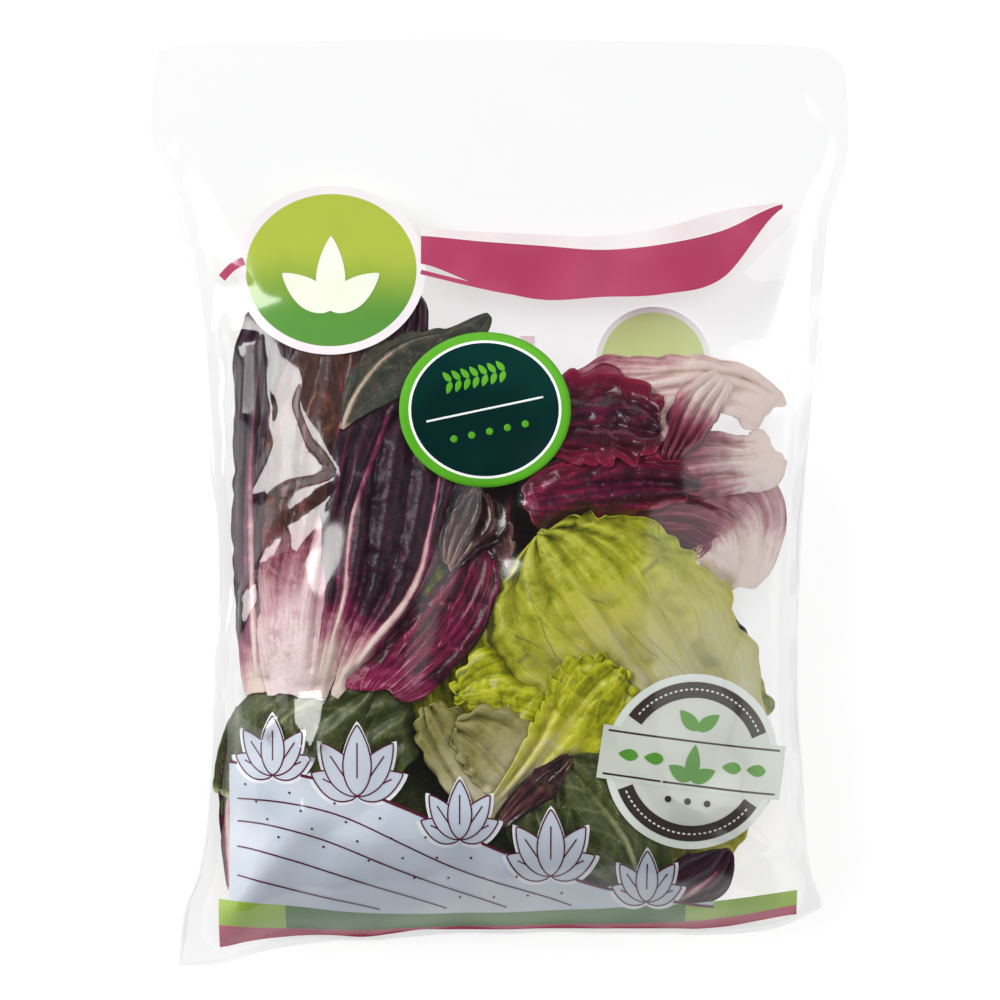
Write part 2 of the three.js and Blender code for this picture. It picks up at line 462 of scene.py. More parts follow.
# Lettuce's negative furrow value darkens its furrows as painted shade.
LETTUCE = dict(PLAIN, vein=0.55, web=0.12, cells=0.05, streak=0.6, mottle=0.9, furrow_shade=-0.12, stops=(
    (0.0, (114, 120, 0)), (0.25, (190, 194, 16)), (0.5, (222, 220, 62)),
    (0.75, (232, 226, 124)), (1.0, (242, 234, 190))))
DOME_LETTUCE = dict(LETTUCE, web_size=(1.5, 0.15), web_width=0.024, mottle=0.6, web=0.0, vein=0.3,
                    line=(112, 100, 60), line_share=0.6, stops=(
    (0.0, (142, 150, 10)), (0.25, (200, 202, 56)), (0.5, (211, 207, 104)),
    (0.75, (208, 202, 138)), (1.0, (220, 214, 178))))
PALE_LETTUCE = dict(LETTUCE, stops=(
    (0.0, (132, 128, 54)), (0.3, (168, 162, 98)), (0.6, (192, 186, 134)),
    (1.0, (220, 212, 180))))
GREEN_LEAF = dict(PLAIN, mottle=0.6, cells=0.08, web=0.12, vein=0.55, shine=0.45, stops=(
    (0.0, (42, 48, 22)), (0.25, (78, 86, 42)), (0.5, (112, 120, 72)),
    (0.8, (170, 176, 126)), (1.0, (196, 196, 160))))
OLIVE_LEAF = dict(GREEN_LEAF, fleck=(90, 48, 54), fleck_share=0.4, stops=(
    (0.0, (38, 40, 34)), (0.25, (60, 64, 52)), (0.5, (94, 88, 76)),
    (0.8, (176, 156, 132)), (1.0, (196, 180, 160))))


# Film

# The header's seam: its height on the bag, how far it stands out and its half width
SEAM_PLACE = 124 * MM
SEAM_RIDGE = 0.5 * MM
SEAM_HALF = 1.2 * MM

# The most that the film may stand above the solid
MOST_PROUD = 5 * MM

# Creases: the spacing and height of their facets in millimetres, and the seed they are drawn from
BROAD_CREASES, FINE_CREASES = (36, 2.5, 11), (15, 0.35, 12)
EDGE_CREASES, TIGHT_CREASES = (8, 0.7, 13), (11, 1.8, 43)


def crumple(x, y, creases):
    """Heights of flat facets with sharp folds between them, as creased film has."""
    spacing, height, seed = creases
    spacing, height = spacing * MM, height * MM
    draw = random.Random(seed)
    low, high = CAD_BOX
    across, along = (int((high[k] - low[k]) / spacing) + 4 for k in (0, 1))
    bm = bmesh.new()
    bmesh.ops.create_grid(bm, x_segments=across, y_segments=along, size=1)
    for vertex in bm.verts:
        vertex.co.x = (vertex.co.x * across / 2 + draw.uniform(-0.38, 0.38)) * spacing
        vertex.co.y = (vertex.co.y * along / 2 + draw.uniform(-0.38, 0.38)) * spacing
        vertex.co.z = draw.uniform(-1, 1) * height
    bmesh.ops.triangulate(bm, faces=bm.faces)
    tree = BVHTree.FromBMesh(bm)
    bm.free()
    return np.array([plumb(tree, a, b) for a, b in zip(x, y)])


# Flat panes of film that catch the light: how far each is pressed in, its slopes, how soft its edge
# is, and its corners
PANES = (
    (1.5, (0.50, -0.25), 1.2, (
        ((-83.2, 47.6), (-69.7, 49.0), (-69.0, 45.5),
         (-72.6, 33.0), (-77.9, 29.4), (-82.5, 41.9)),
        ((-78.3, 38.3), (-74.0, 39.4), (-66.5, 19.8),
         (-66.8, 9.8), (-79.0, 14.5), (-81.1, 25.2)),
        ((-69.0, 23.7), (-64.7, 18.7), (-56.2, 10.5), (-69.0, 7.3), (-76.8, 11.6)),
        ((-81.1, 20.5), (-67.6, 17.0), (-66.8, 8.0), (-81.1, 4.1), (-84.7, 9.5)),
        ((-82.9, 15.2), (-74.7, 9.8), (-80.0, 4.5), (-88.6, -0.5), (-88.6, 5.2)),
    )),
    (1.0, (0.50, -0.25), 1.2, (
        ((-56.9, 6.6), (-75.4, -6.6), (-76.5, -15.1), (-71.1, -20.5), (-60.4, -2.6)),
    )),
    (0.5, (0.62, -0.18), 1.2, (
        ((-76.8, -7.6), (-74.0, -13.3), (-84.7, -26.2), (-88.9, -22.6)),
    )),
    (0.5, (0.62, -0.18), 1.2, (
        ((-92.5, -30.4), (-84.7, -24.7), (-84.3, -35.8), (-92.5, -47.2)),
    )),
    (0.0, (0.68, -0.28), 3.0, (
        ((-92.5, 58.6), (-84.7, 60.1), (-84.7, 31.2), (-93.6, 29.4)),
    )),
    (0.0, (0.76, -0.40), 3.0, (
        ((-95.4, -62.0), (-80.0, -60.0), (-75.5, -72.0), (-82.0, -83.0), (-92.5, -78.0)),
    )),
    (0.0, (0.50, -0.20), 1.2, (
        ((-71.1, -63.2), (-61.1, -63.2), (-61.1, -78.2), (-66.1, -90.7), (-73.3, -78.2)),
    )),
)

# Where the film is creased most finely
CREASED = ((-6.0, 14.0), (30.0, 14.0), (26.0, -12.0), (10.0, -42.0), (-6.0, -34.0))


def inside(x, y, corners, soft):
    """How far inside an outline with corners all turning one way, 0 at its edge to 1."""
    corners = np.array(corners) * MM
    middle = corners.mean(axis=0)
    depth = np.full_like(x, 1.0)
    for a, b in zip(corners, np.roll(corners, -1, axis=0)):
        across = np.array([a[1] - b[1], b[0] - a[0]]) / np.linalg.norm(b - a)
        across *= np.sign(np.dot(across, middle - a))
        depth = np.minimum(depth, (x - a[0]) * across[0] + (y - a[1]) * across[1])
    return np.clip(depth / soft + 0.5, 0, 1)


def flattened(x, y, z, upper):
    """Heights of the film with its panes pressed flat."""
    for sink, slope, soft, outlines in PANES:
        middle = np.concatenate(outlines).mean(axis=0) * MM
        nearest = np.argmin(np.hypot(x - middle[0], y - middle[1]) + 1 - upper)
        pane = z[nearest] - sink * MM + slope[0] * (x - middle[0]) + slope[1] * (y - middle[1])
        share = np.max([inside(x, y, corners, soft * MM) for corners in outlines], axis=0) * upper
        z = z + share * (pane - z)
    return z


def creased(x, y, upper):
    """How far the film's creases lift it: broad over the front, tight at its sides and foot."""
    label = frame_middle("round_label")
    beside_label = smooth(26 * MM, 44 * MM, np.hypot(x - label.x, y - label.y))
    below_seam = 1 - 0.7 * smooth(112 * MM, 128 * MM, y)
    lift = crumple(x, y, BROAD_CREASES) + crumple(x, y, FINE_CREASES)
    lift *= upper * (0.2 + 0.8 * beside_label) * below_seam
    from_side = np.minimum(x - CAD_BOX[0].x, CAD_BOX[1].x - x)
    rim = 1 - smooth(0, 26 * MM, from_side - 14 * MM)
    foot = 1 - smooth(0, 30 * MM, y - CAD_BOX[0].y)
    lift += upper * np.clip(rim + foot, 0, 1) * crumple(x, y, EDGE_CREASES)
    lift += upper * inside(x, y, CREASED, 8 * MM) * crumple(x, y, TIGHT_CREASES)
    lift += upper * SEAM_RIDGE * np.exp(-((y - SEAM_PLACE) / SEAM_HALF) ** 2)
    return lift


def film_piece():
    """The film: the bag's own form, rounded, with finer creases pressed into it."""
    bm = bmesh.new()
    bm.from_mesh(BAG.data)
    bmesh.ops.remove_doubles(bm, verts=bm.verts, dist=0.001 * MM)
    bmesh.ops.join_triangles(bm, faces=bm.faces, angle_face_threshold=math.pi,
                             angle_shape_threshold=math.pi)
    film = new_piece("film", bm, film_material())
    rounding = film.modifiers.new("rounding", "SUBSURF")
    rounding.levels = rounding.render_levels = 2
    with_modifiers(film)
    points = vertex_values(film.data, "co")
    normals = vertex_values(film.data, "normal")
    x, y = points.T[:2]
    upper = smooth(0.05, 0.3, normals[:, 2])
    points += normals * creased(x, y, upper)[:, None]
    points[:, 2] = flattened(x, y, points[:, 2], upper)
    points[:, 2] = np.clip(points[:, 2], 0, CAD_BOX[1].z + MOST_PROUD)
    film.data.vertices.foreach_set("co", points.ravel())
    film.data.update()
    film.visible_shadow = film.visible_diffuse = False
    return finished(film)


def frame_middle(node):
    """The middle of a CAD node's box."""
    low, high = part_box(node)
    return (low + high) / 2


def film_heights(film):
    """The film as a tree for rays, and the heights of its front and back, as grounds."""
    tree = BVHTree.FromPolygons([v.co for v in film.data.vertices],
                                [p.vertices for p in film.data.polygons])
    front, back = Ground(), Ground()
    for i in range(front.shape[0]):
        for j in range(front.shape[1]):
            x, y = front.origin + front.step * np.array([i, j])
            top = plumb(tree, x, y)
            if top is not None:
                front.heights[i, j] = top
                back.heights[i, j] = plumb(tree, x, y, BACK)
    return tree, front, back


# Leaves

LEAF_THICKNESS = 0.45 * MM
LEAF_GAP = 0.25 * MM
LEAF_CELL = 0.85 * MM

# How softly a leaf gives way where another lies on it
GIVE = 0.7 * MM

# Millimetres of leaf to one unit of each map
LEAF_UV = 100 * MM
FAN_UV = 10 * MM

# How each kind of leaf grows. Lengths are millimetres.
# level: its share of the bag's depth, one number or several from base to tip
# cup, roll: how far both margins, or the left one, turn up
# folds: height and number of the folds that run along it
# ruffle: height and length of the margin's waves, and the share of the length where they start
# bumps: height and size of the blisters on the blade
# rib: half width and height of the midrib, and rib_show how strongly it is coloured
# fan, fan_high: how many veins run out from the base on each side, and how strong they are
# side: strength and spacing of the side veins
# pale, palest: the share of the length that is pale, and how pale it gets at most
# tone: how far the whole blade's colour moves towards the pale end
# torn, ragged: how uneven the margin and the base are
# blunt, slant: how much narrower the base is, and how far it is cut at a slant
KINDS = {
    "chicory": dict(level=0.97, cup=1.5, roll=0, folds=(1.8, 4), ruffle=(1.6, 26, 0.2), bumps=(1.3, 8),
                    rib=(1.6, 1.3), fan=2, fan_high=0.4, side=(0.2, 13), pale=0.3, tone=0.1, torn=0.03,
                    ragged=1.5, blunt=0.15, slant=0, palest=1.0),
    "radicchio": dict(level=0.97, cup=2, roll=0, folds=(2.8, 3), ruffle=(2.4, 18, 0.35),
                      bumps=(1.7, 13), rib=(1.3, 1.0), fan=3, fan_high=0.4, side=(0.2, 11), pale=0.7,
                      tone=0.35, torn=0.05, ragged=3, blunt=0.3, palest=0.85),
    "lettuce": dict(level=0.97, cup=1, roll=0, folds=(1.8, 3), ruffle=(2.6, 10, 0.3), bumps=(2.1, 10),
                    rib=(2.2, 0.9), fan=5, fan_high=0.6, side=(0.25, 12), pale=0.4, tone=0.45,
                    torn=0.07, ragged=1),
    "green": dict(level=0.95, cup=1.5, roll=0, folds=(1.4, 3), ruffle=(1.6, 22, 0.1), bumps=(1.4, 10),
                  rib=(1.2, 0.8), fan=1, fan_high=0.3, side=(0.6, 12), pale=0.08, tone=0.5, torn=0.03,
                  ragged=1),
}
KINDS["dome"] = dict(KINDS["lettuce"], cup=-7, ruffle=(3.4, 19, 0.7), bumps=(2.4, 18), fan=8,
                     fan_high=0.7, folds=(3.4, 5), level=0.93, pale=0.6, tone=0.5)
KINDS["bronze"] = dict(KINDS["chicory"], tone=0.3)
KINDS["magenta"] = dict(KINDS["chicory"], folds=(1.2, 6), fan=4, fan_high=0.6, side=(0.25, 8),
                        bumps=(1.2, 7))
KINDS["cream"] = dict(KINDS["radicchio"], pale=0.95, folds=(2.6, 4), bumps=(1.8, 13), rib_show=0.6,
                      fan=5)
KINDS["ruby"] = dict(KINDS["radicchio"], pale=0.02, tone=0.05, fan=3, rib_show=0.35, folds=(1.8, 3),
                     bumps=(2.6, 8), ruffle=(3.6, 12, 0.2), torn=0.1, palest=0.5)
KINDS["pale"] = dict(KINDS["lettuce"], pale=0.8, tone=0.6, folds=(2.2, 3), bumps=(1.4, 9), torn=0.04,
                     blunt=0.3)
KINDS["curled"] = dict(KINDS["chicory"], cup=3, folds=(3.4, 5), bumps=(3.6, 6), ruffle=(3, 9, 0.1),
                       level=0.95, pale=0.01, tone=0.2, rib_show=0.4, fan=4, fan_high=0.7, torn=0.12,
                       ragged=4, blunt=0.5)
KINDS["olive"] = dict(KINDS["green"], fan=2, tone=0.4)


def veins_spread(t):
    """How far apart the veins have run, from the base of the leaf to its tip."""
    return 0.5 + 0.7 * t


def veins_of(s, t, arc, out, half, grown, seed):
    """Where the midrib and the other veins run, from 0 to 1."""
    rib_half = grown["rib"][0] * MM * (1.15 - t)
    midrib = np.exp(-(out / rib_half) ** 2) * (1 - 0.8 * smooth(0.4, 0.95, t))
    fan = np.zeros_like(s)
    count = grown["fan"]
    for k in range(1, count + 1):
        for way in (-1, 1):
            bend = 0.07 * np.sin(4 * t + k * 1.9 + way + seed) + 0.025 * np.sin(15 * t + 2.3 * k * way)
            line = way * (k / (count + 0.5)) ** 0.9 * veins_spread(t) + bend
            thin = (1.0 - 0.6 * t) * (1 - 0.35 * k / count) * MM
            fan = np.maximum(fan, np.exp(-((s - line) * half / thin) ** 2))
    strength, pitch = grown["side"]
    sweep = arc - 1.5 * np.abs(out) + 4 * MM * lumps(out, arc, 16 * MM, seed)
    turn = sweep / (pitch * MM) + 0.5 * (out > 0)
    gap = np.abs(turn - np.round(turn)) * pitch * MM
    sides = np.exp(-(gap / (0.8 * MM)) ** 2) * (1 - 0.7 * np.abs(s)) * smooth(0.05, 0.35, t)
    fan *= grown["fan_high"] * (1 - 0.45 * t)
    shown = midrib * grown.get("rib_show", 1)
    return midrib, np.clip(np.maximum(np.maximum(fan, strength * sides), shown), 0, 1)


def half_widths(grown, s, t, arc, left, right, seed):
    """Half widths of the two sides, rounded off at both ends and torn along the margin."""
    half = np.where(s > 0, through(left, t), through(right, t))
    half *= np.sqrt(1 - 0.92 * np.clip((t - 0.8) / 0.2, 0, 1) ** 2)
    half *= 1 - grown["blunt"] * np.clip(1 - t / 0.1, 0, 1) ** 2
    place = margin_place(s, arc, seed)
    half *= 1 + np.abs(s) * (2.2 * grown["torn"] * lumps(place, arc * 0, 14 * MM, seed)
                             + grown["torn"] * lumps(place, arc * 0, 4 * MM, seed))
    return half


def margin_place(s, arc, seed):
    """A place along the margin for its noise, unlike on the two sides."""
    return arc + (np.sign(s) * 3.1 + seed)


def ruffled(grown, s, t, arc, seed):
    """Heights of the margin's waves, and the angle that each place has reached in its wave."""
    high, length, start = grown["ruffle"]
    place = margin_place(s, arc, seed)
    turn = np.sign(s) * 3.1 + seed
    phase = 2 * np.pi * arc / (length * MM) + turn + 5 * lumps(place, s * 0, 24 * MM, seed + 5)
    uneven = 0.55 + 0.9 * np.abs(lumps(place, s * 0, 17 * MM, seed + 9))
    wave = uneven * high * MM * np.abs(s) ** 3 * smooth(start - 0.15, start + 0.15, t)
    return wave + 0.4 * high * MM * smooth(0.9, 1.0, t), phase


def laid_out(grown, spine, t, out, wave, phase, seed):
    """Places on the plan, out from the spine, with a waved margin and an uneven base."""
    ahead = through(spine, np.clip(t + 0.03, 0, 1)) - through(spine, np.clip(t - 0.03, 0, 1))
    ahead /= np.linalg.norm(ahead, axis=1)[:, None]
    side = np.stack([-ahead[:, 1], ahead[:, 0]], axis=1)
    slide = 0.35 * wave * np.sin(1.6 * phase + 1)
    ragged = lumps(out, t * 0, 9 * MM, seed + 11) + 0.5 * lumps(out, t * 0, 3 * MM, seed + 12)
    slide += grown["ragged"] * MM * ragged * (1 - smooth(0, 0.12, t))
    slide += grown["slant"] * out * (1 - smooth(0, 0.6, t))
    spots = through(spine, t) + side * out[:, None] + ahead * slide[:, None]
    return spots[:, 0], spots[:, 1]


def relief(grown, s, t, x, y, seed, midrib):
    """Heights of a leaf's folds and blisters, and a mask of the furrows between them, 0 to 1, for
    painted shade.
    """
    high_fold, folds = grown["folds"]
    high_bump, bump_size = grown["bumps"]
    puff = lumps(x, y, bump_size * MM, seed + 2)
    crinkle = lumps(x, y, 0.42 * bump_size * MM, seed + 4)
    furrow_shade = np.exp(-(puff / 0.07) ** 2) * (1 - 0.6 * midrib)
    furrow_shade = np.maximum(furrow_shade, 0.6 * np.exp(-(crinkle / 0.08) ** 2))
    pleat = np.sin(np.pi * folds * s + seed + 2.4 * lumps(s * 0.01, t * 0.03, 0.02, seed + 6))
    height = high_fold * MM * pleat * smooth(0.0, 0.35, t)
    blister = 1.6 * np.abs(puff) + 0.55 * np.abs(crinkle) - 0.5
    return height + high_bump * MM * blister * (1 - 0.8 * midrib), furrow_shade


def pressed(free, x, y, floor_here):
    """A leaf's heights once it gives way under what lies above it, and stays inside the film."""
    film_here = front_film.at(x, y) - LEAF_CLEARANCE
    under = np.minimum(roof.at(x, y), film_here)
    z = under - GIVE * np.logaddexp(0, (under - free) / GIVE)
    return np.where(film_here < floor_here, (floor_here + film_here) / 2, np.maximum(z, floor_here))


def mapped(bm, s, t, out, arc, widest, seed):
    """Gives a leaf its two maps, the flat one and the one that fans out as its veins do."""
    leaf_map = bm.loops.layers.uv.new("leaf")
    fan_map = bm.loops.layers.uv.new("fan")
    spread = veins_spread(t)
    for face in bm.faces:
        for loop in face.loops:
            k = loop.vert.index
            loop[leaf_map].uv = (out[k] / LEAF_UV + seed, arc[k] / LEAF_UV)
            loop[fan_map].uv = (s[k] / spread[k] * widest / FAN_UV + 3 * seed, arc[k] / FAN_UV)


def leaf(name, kind, seed, spine, left, right, own):
    """A leaf from its spine and half widths on the plan, pressed under what already lies above it."""
    grown = {**KINDS["chicory"], **KINDS[kind], **own}
    spine, left, right = (np.array(a, float) * MM for a in (spine, left, right))
    length = np.sum(np.linalg.norm(np.diff(spine, axis=0), axis=1))
    across = max(12, int((left.max() + right.max()) / LEAF_CELL))
    along = max(18, int(length / LEAF_CELL))
    bm, s, t = grid(across, along)
    arc, margin = t * length, np.abs(s)
    half = half_widths(grown, s, t, arc, left, right, seed)
    wave, phase = ruffled(grown, s, t, arc, seed)
    out = s * half + 0.3 * np.sign(s) * wave * np.cos(1.6 * phase)
    x, y = laid_out(grown, spine, t, out, wave, phase, seed)
    midrib, vein = veins_of(s, t, arc, out, half, grown, seed)

    floor_here = back_film.at(x, y) + LEAF_CLEARANCE
    level = through(grown["level"], t) if isinstance(grown["level"], tuple) else grown["level"]
    free = floor_here + level * (swell.at(x, y) - floor_here)
    free += MM * (grown["cup"] * (margin ** 2 - 0.4) + grown["roll"] * s)
    bumps, furrow_shade = relief(grown, s, t, x, y, seed, midrib)
    free += bumps + wave * np.sin(phase) + 0.4 * wave * margin ** 3 * np.sin(2.3 * phase + 2)
    free += grown["rib"][1] * MM * midrib + 0.4 * MM * vein
    z = pressed(free, x, y, floor_here)
    placed(bm, np.stack([x, y, z], axis=1))
    mapped(bm, s, t, out, arc, (left.max() + right.max()) / 2, seed)

    base = 1 - (t / max(grown["pale"], 0.01)) ** 1.5 - 0.2 * margin
    base = np.clip(np.maximum(base, vein * midrib * (1 - 0.75 * t)), 0, grown["palest"])
    piece = new_piece(name, bm, LOOKS[kind])
    for title, values in (("vein", vein), ("pale", base), ("edge", margin ** 3), ("furrow_shade", furrow_shade),
                          ("tone", s * 0 + grown["tone"])):
        keep_values(piece.data, title, values)
    walled(piece, LEAF_THICKNESS)
    roof.lower(x, y, z - LEAF_THICKNESS - LEAF_GAP)
    roof.heights[:] = roof.softened(1).heights
    return finished(piece)


